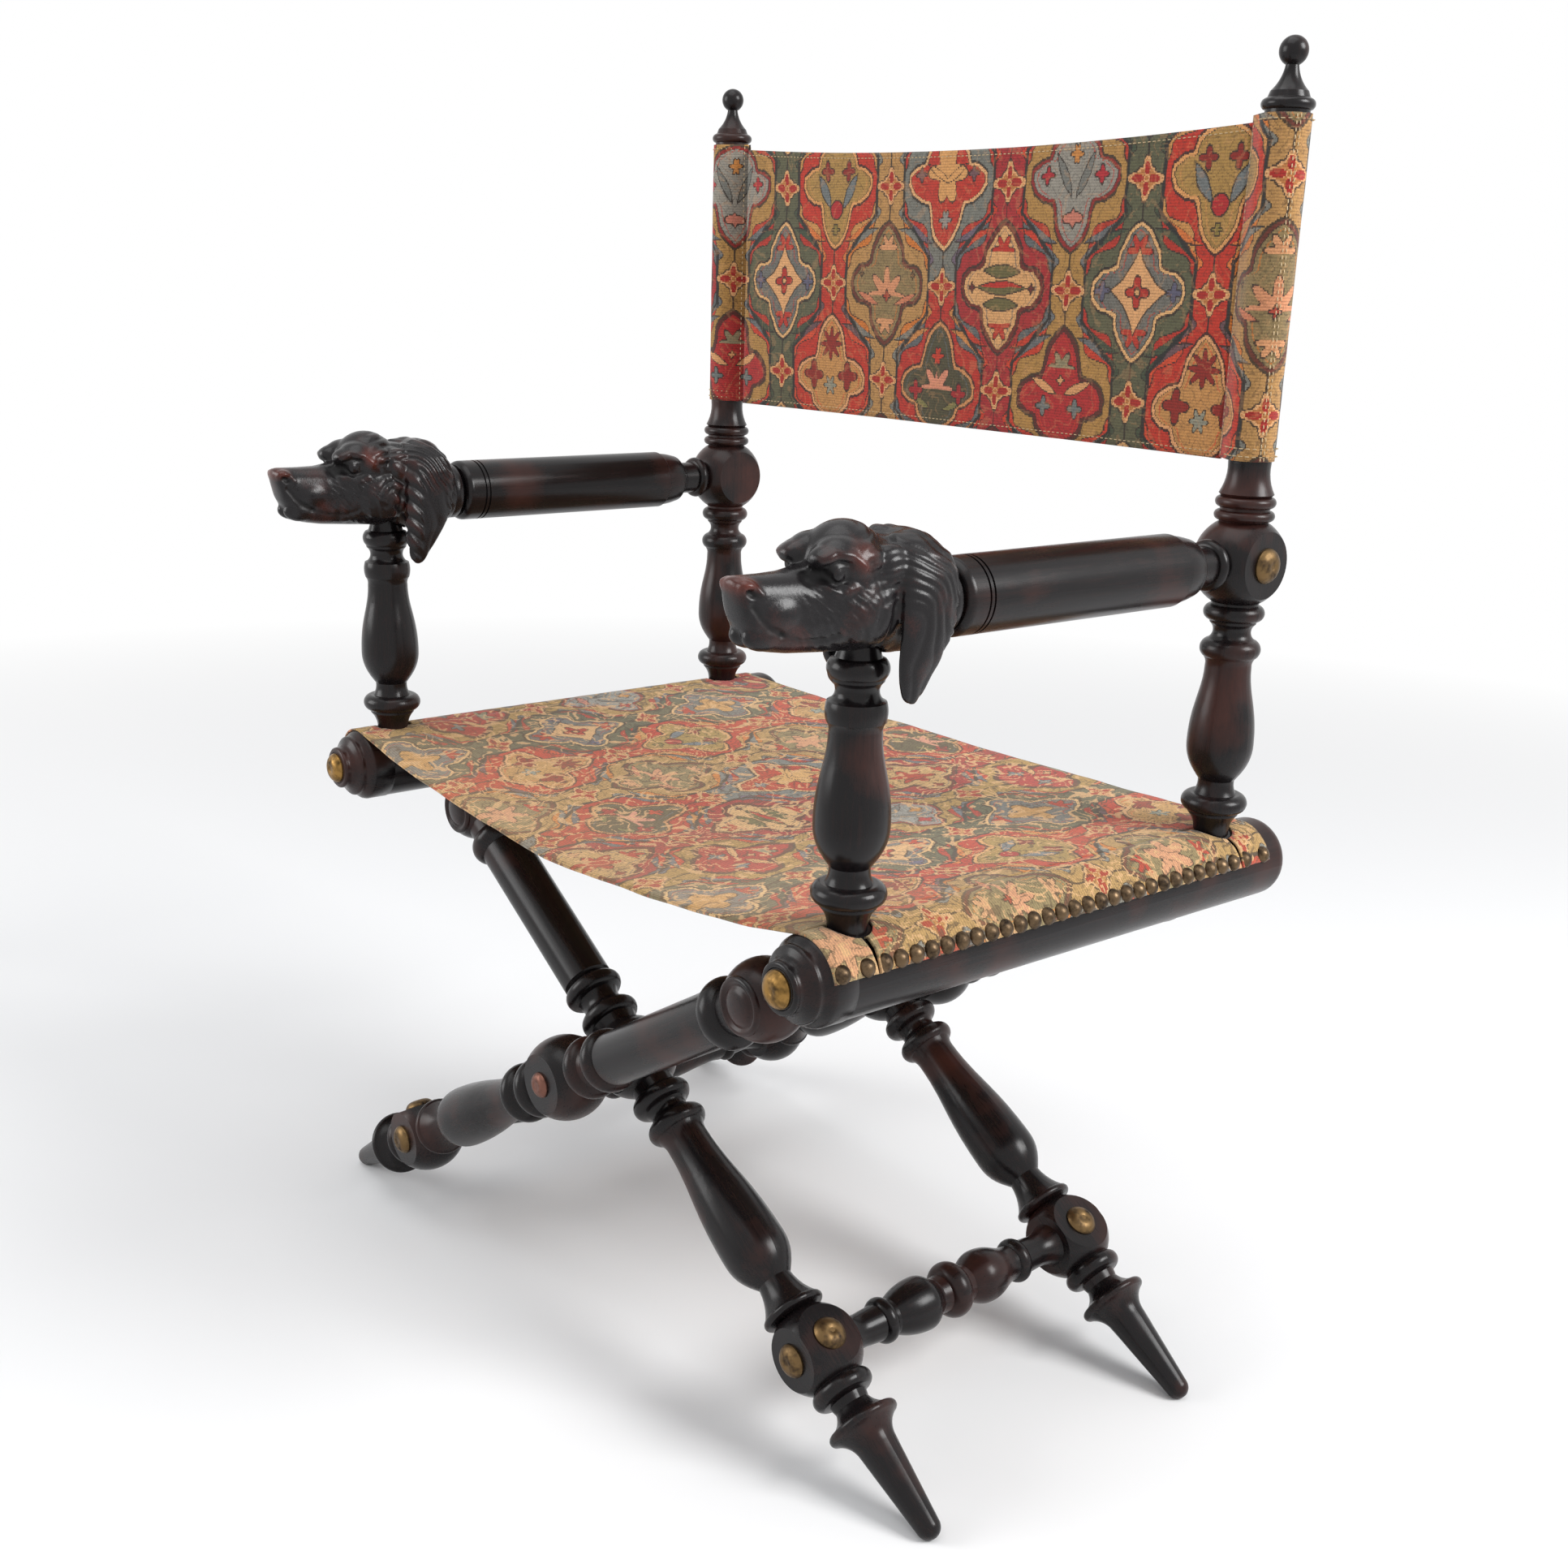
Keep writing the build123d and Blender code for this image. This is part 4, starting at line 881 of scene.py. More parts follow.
def turned_mesh(name: str, profile: Sequence[tuple[float, float]], steps: int = 16) -> bpy.types.Mesh:
    """Turn a profile about Z.

    Args:
        name: the mesh's name.
        profile: radius and height in millimetres, from the axis to the axis or open.
        steps: faces round it.

    Returns:
        The mesh.
    """
    shape = bmesh.new()
    rings = []
    for radius, height in profile:
        if radius == 0:
            rings.append([shape.verts.new((0, 0, height * MM))] * steps)
            continue
        ring = []
        for step in range(steps):
            turn = 2 * pi * step / steps
            ring.append(shape.verts.new((radius * cos(turn) * MM, radius * sin(turn) * MM, height * MM)))
        rings.append(ring)
    for low, high in zip(rings, rings[1:]):
        for step in range(steps):
            after = (step + 1) % steps
            corners = []
            for corner in (low[step], low[after], high[after], high[step]):
                if corner not in corners:
                    corners.append(corner)
            shape.faces.new(corners)
    bmesh.ops.recalc_face_normals(shape, faces=shape.faces)
    mesh = bpy.data.meshes.new(name)
    shape.to_mesh(mesh)
    shape.free()
    smooth(mesh)
    return mesh


class Row:
    """Copies of a small unit at an even pitch along a line, laid out by one Geometry Nodes tree."""

    def __init__(self) -> None:
        """Build the tree: line to curve, even points, a unit on each, made real with its material."""
        self.tree = bpy.data.node_groups.new("row_of_units", "GeometryNodeTree")
        face = self.tree.interface
        face.new_socket("Line", in_out="INPUT", socket_type="NodeSocketGeometry")
        for name, kind in (
            ("Unit", "NodeSocketObject"),
            ("Pitch", "NodeSocketFloat"),
            ("Outward", "NodeSocketVector"),
            ("Tilt", "NodeSocketFloat"),
            ("Seed", "NodeSocketInt"),
            ("Finish", "NodeSocketMaterial"),
        ):
            face.new_socket(name, in_out="INPUT", socket_type=kind)
        face.new_socket("Row", in_out="OUTPUT", socket_type="NodeSocketGeometry")
        tree = self.tree
        given = put(tree, "NodeGroupInput").outputs
        curve = put(tree, "GeometryNodeMeshToCurve", {0: given["Line"]})
        paced = {"Curve": curve.outputs[0], "Length": given["Pitch"]}
        points = put(tree, "GeometryNodeResampleCurve", paced, mode="LENGTH")
        tangent = put(tree, "GeometryNodeInputTangent")
        outward = put(tree, "FunctionNodeAlignRotationToVector", {"Vector": given["Outward"]}, axis="Z")
        along = {"Rotation": outward.outputs[0], "Vector": tangent.outputs[0]}
        lined = put(tree, "FunctionNodeAlignRotationToVector", along, axis="X", pivot_axis="Z")
        low = put(tree, "ShaderNodeMath", {0: given["Tilt"], 1: -1.0}, operation="MULTIPLY")
        lean = {"Min": low.outputs[0], "Max": given["Tilt"], "Seed": given["Seed"]}
        tilt = put(tree, "FunctionNodeRandomValue", lean, data_type="FLOAT")
        turned = put(tree, "FunctionNodeAxisAngleToRotation", {"Axis": (0, 1, 0), "Angle": tilt.outputs["Value"]})
        both = {0: lined.outputs[0], 1: turned.outputs[0]}
        stance = put(tree, "FunctionNodeRotateRotation", both, rotation_space="LOCAL")
        unit = put(tree, "GeometryNodeObjectInfo", {"Object": given["Unit"], "As Instance": True})
        stood = {"Points": points.outputs[0], "Instance": unit.outputs["Geometry"], "Rotation": stance.outputs[0]}
        copies = put(tree, "GeometryNodeInstanceOnPoints", stood)
        real = put(tree, "GeometryNodeRealizeInstances", {0: copies.outputs[0]})
        finished = put(tree, "GeometryNodeSetMaterial", {"Geometry": real.outputs[0], "Material": given["Finish"]})
        put(tree, "NodeGroupOutput", {0: finished.outputs[0]})

    def lay(
        self, name: str, lines: Sequence[Sequence[Vector]], unit: bpy.types.Mesh, pitch_mm: float, outward: Vector,
        finish: bpy.types.Material, tilt: float = 0.0, seed: int = 1,
    ) -> bpy.types.Object:
        """Lay one row and give it as a plain mesh.

        Args:
            name: the piece's name.
            lines: the lines that the units follow, in metres.
            unit: one unit, upright along Z.
            pitch_mm: distance from unit to unit.
            outward: the way the units stand.
            finish: the row's material.
            tilt: the most that a unit leans, in radians.
            seed: the number that settles how each leans.

        Returns:
            The new piece.
        """
        points, edges = [], []
        for line in lines:
            edges += [(len(points) + step, len(points) + step + 1) for step in range(len(line) - 1)]
            points += line
        mesh = bpy.data.meshes.new(name)
        mesh.from_pydata(points, edges, [])
        host = bpy.data.objects.new(name, mesh)
        model = bpy.data.objects.new(f"{name}_unit", unit)
        scene = bpy.context.scene.collection
        scene.objects.link(host)
        scene.objects.link(model)
        modifier = host.modifiers.new("row", "NODES")
        modifier.node_group = self.tree
        values = {"Unit": model, "Pitch": pitch_mm * MM, "Outward": tuple(outward), "Tilt": tilt, "Seed": seed,
                  "Finish": finish}
        for item in self.tree.interface.items_tree:
            if item.in_out == "INPUT" and item.name in values:
                modifier[item.identifier] = values[item.name]
        done = bpy.data.meshes.new_from_object(host.evaluated_get(bpy.context.evaluated_depsgraph_get()))
        done.name = name
        for used in (host, model):
            bpy.data.objects.remove(used)
        smooth(done)
        return add_piece(name, done)


# Cloth


@dataclass
class SeatSling:
    """Seat cloth: a hanging panel, its wraps over the two rails, and the close rows of nails."""

    cloth: bpy.types.Material
    nail: bpy.types.Material
    row: Row
    half_spacing_mm: float = RAIL_X_MM
    rail_z_mm: float = RAIL_Z_MM
    rail_radius_mm: float = 31.0
    front_mm: float = -202.75
    rear_mm: float = 243.25
    thickness_mm: float = 1.6
    leave_angle: float = 102.0
    edge_angle: float = 14.5
    front_sag_mm: float = 31.0
    rear_sag_mm: float = 4.0
    front_curl_mm: float = 1.6
    front_curl_width_mm: float = 9.0
    post_ys_mm: tuple[float, float] = (-167.25, 206.75)
    hole_radius_mm: float = 16.2
    panel_cells: tuple[int, int] = (88, 120)
    folded_share: float = 0.304
    slit_mm: float = 3.4
    slit_angle: float = 64.0
    curl_angle: float = 62.0
    curl_lift_mm: float = 3.2
    curl_width_mm: float = 9.0
    hem_band_mm: float = 3.2
    hem_angle: float = 50.0
    wrap_lines: int = 149
    wrap_steps: int = 34
    rim_inset_mm: float = 6.5
    nail_angle: float = 24.0
    nail_pitch_mm: float = 13.55
    nail_end_mm: float = 7.0
    nail_clear_mm: float = 7.5
    # radius and height of a nail's head
    nail_head: tuple = ((0, 4.6), (2.0, 4.3), (4.0, 3.3), (5.6, 1.8), (6.4, 0.4), (6.5, -0.5), (0, -0.7))
    pattern_x_mm: float = 50.0
    pattern_y_mm: float = -26.0

    def surface_radius(self) -> float:
        """Middle of the cloth's thickness from the rail's axis."""
        return self.rail_radius_mm + self.thickness_mm / 2

    def line_pitch(self) -> float:
        """Distance from line to line of the cloth on a rail."""
        return (self.rear_mm - self.front_mm) / self.wrap_lines

    def on_rail(self, side: int, angle: float, radius: float) -> tuple[float, float]:
        """Place across and above of a point round a rail, by its angle in degrees above the outer horizontal."""
        turn = radians(angle)
        return side * (self.half_spacing_mm + radius * cos(turn)), self.rail_z_mm + radius * sin(turn)

    def along(self, share: float) -> float:
        """Place from front to rear for a share of the cloth's length."""
        return self.front_mm + (self.rear_mm - self.front_mm) * share

    def angle_at(self, share: float) -> float:
        """Angle round the rail for a share of the way from the panel to the nailed edge."""
        return self.leave_angle + (self.edge_angle - self.leave_angle) * share

    def post_near(self, y: float) -> float:
        """Place from front to rear of the nearer post."""
        return min(self.post_ys_mm, key=lambda post_y: abs(y - post_y))

    def hang(self, line: float, column: float) -> Spot:
        """Place one point of the hanging panel, a little creased where it is sat on.

        Args:
            line: its share of the way from front to rear.
            column: its share of the way from rim to rim.

        Returns:
            The point.
        """
        rim_x, rim_z = self.on_rail(1, self.leave_angle, self.surface_radius())
        x, y = rim_x * (2 * column - 1), self.along(line)
        share = abs(x) / rim_x
        depth = 1 - (0.62 * share**2 + 0.38 * share**1.15)
        sag = self.front_sag_mm + (self.rear_sag_mm - self.front_sag_mm) * line
        ripple = noise.noise(Vector((x / 95, y / 60, 2.0))) * 1.6 + noise.noise(Vector((x / 30, y / 75, 7.0))) * 0.6
        curl = self.front_curl_mm * max(0.0, 1 - (y - self.front_mm) / self.front_curl_width_mm) ** 2
        z = rim_z - sag * depth + (ripple - curl) * min(1.0, 6 * (1 - share))
        return x, y, z, x - self.pattern_x_mm, y - self.pattern_y_mm

    def build_panel(self) -> None:
        """Build the hanging panel."""
        mesh = cloth_mesh("seat_sling", cloth_rows(*self.panel_cells, self.hang))
        panel = add_cloth(mesh, self.cloth, self.thickness_mm, "seat_panel", "side_right")
        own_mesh(panel)

    def wrap(self, side: int, line: float, step: float) -> Spot:
        """Place one point of the cloth on a rail.

        Args:
            side: -1 for the left rail and 1 for the right.
            line: its share of the way from front to rear.
            step: its share of the way from the panel to the nailed edge.

        Returns:
            The point.
        """
        y, angle, radius = self.along(line), self.angle_at(step), self.surface_radius()
        arc = radians(self.leave_angle - angle) * radius
        u, v = side * (self.half_spacing_mm - self.rim_inset_mm + arc) - self.pattern_x_mm, y - self.pattern_y_mm
        post_y = self.post_near(y)
        gap = abs(y - post_y)
        # the cloth's two corners curl up beside the slit
        lift = 0.25 * noise.noise(Vector((arc / 12, y / 14, side * 3.0)))
        if angle < self.curl_angle:
            curl = max(0.0, 1 - gap / self.curl_width_mm) ** 2
            lift += self.curl_lift_mm * curl * min(1.0, (self.curl_angle - angle) / 20)
        x, z = self.on_rail(side, angle, radius + max(lift, -0.1))
        place_y = y
        # the slit widens towards the post
        if gap < self.line_pitch() and angle < self.slit_angle:
            opening = self.slit_mm * (0.25 + 1.1 * max(0.0, angle - self.edge_angle) / 45)
            place_y = post_y + (opening / 2 if y > post_y else -opening / 2)
        # the edge of the hole lies close round the foot
        across = x - side * self.half_spacing_mm
        away = hypot(across, y - post_y)
        if self.hole_radius_mm - self.hem_band_mm < away < self.hole_radius_mm and angle > self.hem_angle:
            grow = self.hole_radius_mm / away
            x = side * self.half_spacing_mm + across * grow
            place_y = post_y + (y - post_y) * grow
            z = self.rail_z_mm + sqrt(max(0.0, radius**2 - (x - side * self.half_spacing_mm) ** 2))
        return x, place_y, z, u, v

    def is_cut(self, line: int, step: int) -> bool:
        """Tell whether a cell of the wrap lies in a post's hole or in the slit beside it.

        Args:
            line: the cell's number from the front.
            step: the cell's number from the panel.

        Returns:
            True where there is no cloth.
        """
        y = self.along((line + 0.5) / self.wrap_lines)
        out = self.surface_radius() * cos(radians(self.angle_at((step + 0.5) / self.wrap_steps)))
        gap = abs(y - self.post_near(y))
        in_slit = out > 0 and gap < self.line_pitch() / 2
        return in_slit or hypot(out, gap) < self.hole_radius_mm - 1.4

    def build_wrap(self, name: str) -> None:
        """Build the cloth on one rail, cut round the posts' feet and slit to its nailed edge.

        Args:
            name: the rail's side.
        """
        side = SIDES[name]
        steps = self.wrap_steps
        rows = cloth_rows(self.wrap_lines, steps, lambda line, step: self.wrap(side, line, step))
        holes = [(line, step) for line in range(self.wrap_lines) for step in range(steps) if self.is_cut(line, step)]
        if side > 0:
            rows = [row[::-1] for row in rows]
            holes = [(line, steps - 1 - step) for line, step in holes]
        mesh = cloth_mesh(f"seat_cloth_{name}", rows, holes)
        wrap = add_cloth(mesh, self.cloth, self.thickness_mm, f"seat_wrap_{name}", f"side_{name}")

    def build_nails(self, name: str) -> None:
        """Build the domed nails along the cloth's outer edge, in runs that stop short of the posts.

        Args:
            name: the rail's side.
        """
        side = SIDES[name]
        x, z = self.on_rail(side, self.nail_angle, self.rail_radius_mm + self.thickness_mm - 0.3)
        ends = [self.front_mm + self.nail_end_mm]
        for post_y in self.post_ys_mm:
            ends += [post_y - self.nail_clear_mm, post_y + self.nail_clear_mm]
        ends.append(self.rear_mm - self.nail_end_mm)
        runs = [[Vector((x, y, z)) * MM for y in ends[start : start + 2]] for start in range(0, len(ends), 2)]
        turn = radians(self.nail_angle)
        outward = Vector((side * cos(turn), 0, sin(turn)))
        head = turned_mesh("nail_head", self.nail_head)
        nails = self.row.lay(
            f"nail_row_{name}", runs, head, self.nail_pitch_mm, outward, self.nail, tilt=0.12, seed=4 + side
        )
        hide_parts(f"seat_nails_{name}")
        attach(nails, f"side_{name}")

    def build(self) -> None:
        """Build the whole sling."""
        self.build_panel()
        for name in SIDES:
            self.build_wrap(name)
            self.build_nails(name)


@dataclass
class BackSling:
    """Back cloth: a panel between two sleeves that slide over the uprights, with its seams and hems."""

    cloth: bpy.types.Material
    thread: bpy.types.Material
    row: Row
    half_spacing_mm: float = RAIL_X_MM
    y_mm: float = 206.75
    sleeve_radius_mm: float = 16.5
    seam_mm: float = 26.5
    bottom_mm: float = 741.0
    top_mm: float = 972.0
    top_sag_mm: float = 9.0
    sleeve_bottom_mm: float = 742.5
    sleeve_top_mm: float = 976.6
    sleeve_lines: int = 60
    thickness_mm: float = 1.5
    panel_thickness_mm: float = 2.6
    pattern_x_mm: float = 53.0
    pattern_z_mm: float = 855.5
    hem_mm: float = 4.6
    hem_end_mm: float = 4.0
    hem_steps: int = 60
    stitch_pitch_mm: float = 4.6
    panel_cells: tuple[int, int] = (52, 130)
    folded_share: float = 0.246
    seam_half_mm: float = 0.9
    seam_inset_mm: float = 2.2
    # half length of a stitch, its radius near the ends and its radius in the middle
    hem_stitch: tuple[float, float, float] = (1.5, 0.34, 0.42)
    seam_stitch: tuple[float, float, float] = (1.3, 0.32, 0.4)
    lace_stitch: tuple[float, float, float] = (1.7, 0.34, 0.45)
    lace_lean: float = 0.5
    # angles of the overlap's two rows of stitches, and heights of the rings above the sleeve's bottom
    lace_angles: tuple[float, float] = (22.0, 31.0)
    lace_rings_mm: tuple[float, float, float] = (3.4, 9.0, 230.1)

    def seam_x(self) -> float:
        """Distance of a seam from the chair's middle."""
        return self.half_spacing_mm - self.seam_mm

    def edges(self, x: float) -> tuple[float, float]:
        """Height of the panel's lower and upper edge at a distance from the middle."""
        share = 1 - (x / self.seam_x()) ** 2
        return self.bottom_mm + 1.0 * share, self.top_mm - self.top_sag_mm * share

    def bulge(self, x: float, z: float) -> float:
        """How far the panel stands from its flat plane.

        Args:
            x: a point's distance from the middle.
            z: its height.

        Returns:
            The distance to the rear.
        """
        share = abs(x) / self.seam_x()
        folds = noise.noise(Vector((x / 120, z / 60, 5.0))) * 1.5 + noise.noise(Vector((x / 18, z / 130, 9.0))) * 0.5
        return folds * min(1.0, 5 * (1 - share)) + 1.2 * sin(pi * share) ** 2

    def hang(self, line: float, column: float) -> Spot:
        """Place one point of the panel.

        Args:
            line: its share of the way from the lower edge to the upper.
            column: its share of the way from seam to seam.

        Returns:
            The point.
        """
        x = self.seam_x() * (2 * column - 1)
        low, high = self.edges(x)
        z = low + (high - low) * line
        return x, self.y_mm + self.bulge(x, z), z, x - self.pattern_x_mm, z - self.pattern_z_mm

    def flatten(self, piece: bpy.types.Object) -> None:
        """Give a piece its own copy of its mesh."""
        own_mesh(piece)

    def build_panel(self) -> None:
        """Build the panel between the seams, with its hem stitches."""
        mesh = cloth_mesh("back_sling", cloth_rows(*self.panel_cells, self.hang))
        panel = add_cloth(mesh, self.cloth, self.panel_thickness_mm, "back_panel", "side_right")
        self.flatten(panel)
        rows = [self.build_hem(word, face) for word, face in ENDS.items()]

    def stitch(self, half_length: float, shoulder: float, middle: float, lean: float = 0.0) -> bpy.types.Mesh:
        """Make one stitch, lying along X.

        Args:
            half_length: half its length in millimetres.
            shoulder: its radius near the ends.
            middle: its radius in the middle.
            lean: how far it turns out of the line, in radians.

        Returns:
            The stitch.
        """
        bend = half_length - 0.3
        profile = ((0, -half_length), (shoulder, -bend), (middle, 0), (shoulder, bend), (0, half_length))
        stitch = turned_mesh("stitch", profile, 6)
        stitch.transform(Matrix.Rotation(pi / 2 + lean, 4, "Y"))
        return stitch

    def upright(self, x: float, y: float, margin: float) -> list[Vector]:
        """Ends of a line up a sleeve, in metres, a margin short of its edges."""
        return [Vector((x, y, z)) * MM for z in (self.sleeve_bottom_mm + margin, self.sleeve_top_mm - margin)]

    def build_hem(self, word: str, face: int) -> bpy.types.Object:
        """Build the hem stitches on one face of the panel.

        Args:
            word: the face's name.
            face: -1 for the front and 1 for the rear.

        Returns:
            The stitches.
        """
        lines = []
        for upper in (False, True):
            line = []
            for step in range(self.hem_steps + 1):
                x = (self.seam_x() - self.hem_end_mm) * (2 * step / self.hem_steps - 1)
                low, high = self.edges(x)
                z = high - self.hem_mm if upper else low + self.hem_mm
                y = self.y_mm + self.bulge(x, z) + face * (self.panel_thickness_mm / 2 + 0.1)
                line.append(Vector((x, y, z)) * MM)
            lines.append(line)
        stitch = self.stitch(*self.hem_stitch)
        outward = Vector((0, face, 0))
        row = self.row.lay(f"hem_stitches_{word}", lines, stitch, self.stitch_pitch_mm, outward, self.thread)
        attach(row, "side_right")
        self.flatten(row)
        return row

    def section(self) -> list[tuple[float, float, float]]:
        """Draw a sleeve's section: close round the upright, then straight from both sides to the seam.

        Returns:
            Each point's distance inboard of the upright, its distance to the rear, and the way along the cloth.
        """
        meet = degrees(atan2(sqrt(self.seam_mm**2 - self.sleeve_radius_mm**2), self.sleeve_radius_mm))
        turns = [radians(meet + (360 - 2 * meet) * step / 48) for step in range(49)]
        round_post = [(self.sleeve_radius_mm * cos(turn), -self.sleeve_radius_mm * sin(turn)) for turn in turns]
        outline = [(self.seam_mm, -self.seam_half_mm), *round_post, (self.seam_mm, self.seam_half_mm)]
        arc, points = 0.0, [(*outline[0], 0.0)]
        for (last_in, last_across), (inboard, across) in zip(outline, outline[1:]):
            arc += hypot(inboard - last_in, across - last_across)
            points.append((inboard, across, arc))
        return points

    def build_sleeve(self, name: str) -> None:
        """Build one sleeve.

        Args:
            name: its side.
        """
        side = SIDES[name]
        section = self.section()
        rows = []
        for line in range(self.sleeve_lines + 1):
            z = self.sleeve_bottom_mm + (self.sleeve_top_mm - self.sleeve_bottom_mm) * line / self.sleeve_lines
            row = []
            for inboard, across, arc in section:
                loose = 0.35 * noise.noise(Vector((arc / 16, z / 26, side * 2.0)))
                grow = 1 + max(loose, -0.05) / max(hypot(inboard, across), 1.0)
                x = side * (self.half_spacing_mm - inboard * grow)
                u = side * (self.seam_x() + arc) - self.pattern_x_mm
                row.append((x, self.y_mm + across * grow, z, u, z - self.pattern_z_mm))
            rows.append(row if side > 0 else row[::-1])
        mesh = cloth_mesh(f"back_cloth_{name}", rows)
        sleeve = add_cloth(mesh, self.cloth, self.thickness_mm, f"back_sleeve_{name}", f"side_{name}")

    def build_seam(self, name: str) -> None:
        """Build the stitches that close one sleeve beside its seam.

        Args:
            name: the sleeve's side.
        """
        slope = self.sleeve_radius_mm / sqrt(self.seam_mm**2 - self.sleeve_radius_mm**2)
        x = SIDES[name] * (self.half_spacing_mm - (self.seam_mm - self.seam_inset_mm))
        proud = self.seam_half_mm + self.seam_inset_mm * slope + self.thickness_mm / 2 + 0.15
        lines = [self.upright(x, self.y_mm + face * proud, 3) for face in (-1, 1)]
        stitch = self.stitch(*self.seam_stitch)
        seam = self.row.lay(
            f"seam_stitches_{name}", lines, stitch, self.stitch_pitch_mm, Vector((0, -1, 0)), self.thread
        )
        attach(seam, f"side_{name}")

    def build_lacing(self, name: str) -> None:
        """Build the stitched overlap along the outer side of a sleeve, and the rows round its ends.

        Args:
            name: the sleeve's side.
        """
        side = SIDES[name]
        reach = self.sleeve_radius_mm + self.thickness_mm / 2 + 0.35

        def on_sleeve(angle: float) -> tuple[float, float]:
            """Place across and to the rear of a point round the sleeve."""
            turn = radians(angle)
            return side * (self.half_spacing_mm + reach * cos(turn)), self.y_mm - reach * sin(turn)

        lines = [self.upright(*on_sleeve(angle), 2) for angle in self.lace_angles]
        for rise in self.lace_rings_mm:
            ring = [(*on_sleeve(-140 + 280 * step / 40), self.sleeve_bottom_mm + rise) for step in range(41)]
            lines.append([Vector(point) * MM for point in ring])
        stitch = self.stitch(*self.lace_stitch, lean=self.lace_lean)
        outward = Vector((side, -1, 0))
        lacing = self.row.lay(f"sleeve_lacing_{name}", lines, stitch, self.stitch_pitch_mm, outward, self.thread)
        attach(lacing, f"side_{name}")

    def build(self) -> None:
        """Build the whole back."""
        self.build_panel()
        for name in SIDES:
            self.build_sleeve(name)
            self.build_seam(name)
            self.build_lacing(name)


# Hounds' heads


def smooth_step(values: np.ndarray, low: float, high: float) -> np.ndarray:
    """Rise smoothly from 0 at low to 1 at high."""
    share = np.clip((values - low) / (high - low), 0.0, 1.0)
    return share * share * (3 - 2 * share)


def fall(values: np.ndarray, full: float, none: float) -> np.ndarray:
    """Fall smoothly from 1 at full to 0 at none."""
    return smooth_step(-values, -none, -full)


def between(values: np.ndarray, start: float, rise: float, full: float, none: float) -> np.ndarray:
    """Rise smoothly from 0 at start to 1 at rise, and fall from 1 at full to 0 at none."""
    return smooth_step(values, start, rise) * fall(values, full, none)


def locks(place: np.ndarray, pitch: float, low: float = 0.6) -> np.ndarray:
    """Height of rounded locks side by side, from low under the skin in the cuts between them."""
    return np.abs(np.sin(place * pi / pitch)) - low


def grain_noise(points: np.ndarray, seed: float) -> np.ndarray:
    """Smooth noise from -1 to 1 at scaled points."""
    return np.array([noise.noise(Vector((x, y, z + seed))) for x, y, z in points])


def vertex_rows(mesh: bpy.types.Mesh, kind: str) -> np.ndarray:
    """Read a mesh's points or normals.

    Args:
        mesh: the mesh.
        kind: "co" for the points and "normal" for the normals.

    Returns:
        A row of three numbers for each point.
    """
    values = np.empty(len(mesh.vertices) * 3)
    mesh.vertices.foreach_get(kind, values)
    return values.reshape(-1, 3)


@dataclass(frozen=True)
class Stroke:
    """One cut or ridge of the carving: points behind the nose and above the arm's axis, its depth and its width.

    It fades out nearer to the head's middle than least_out.
    """

    points: tuple[tuple[float, float], ...]
    depth: float
    width: float
    least_out: float = 6.0

    def cut(self, behind: np.ndarray, above: np.ndarray, out: np.ndarray) -> np.ndarray:
        """Work out how far the stroke moves each point along its normal.

        Args:
            behind: the points' distances behind the nose.
            above: their heights above the arm's axis.
            out: their distances from the head's middle.

        Returns:
            The distances, negative for a cut.
        """
        nearest = np.full(len(behind), 1e9)
        for (s0, a0), (s1, a1) in zip(self.points, self.points[1:]):
            run, rise = s1 - s0, a1 - a0
            share = np.clip(((behind - s0) * run + (above - a0) * rise) / (run * run + rise * rise), 0, 1)
            nearest = np.minimum(nearest, np.hypot(behind - s0 - share * run, above - a0 - share * rise))
        shape = np.exp(-((nearest / self.width) ** 2))
        return -self.depth * shape * smooth_step(out, self.least_out - 3, self.least_out + 1)


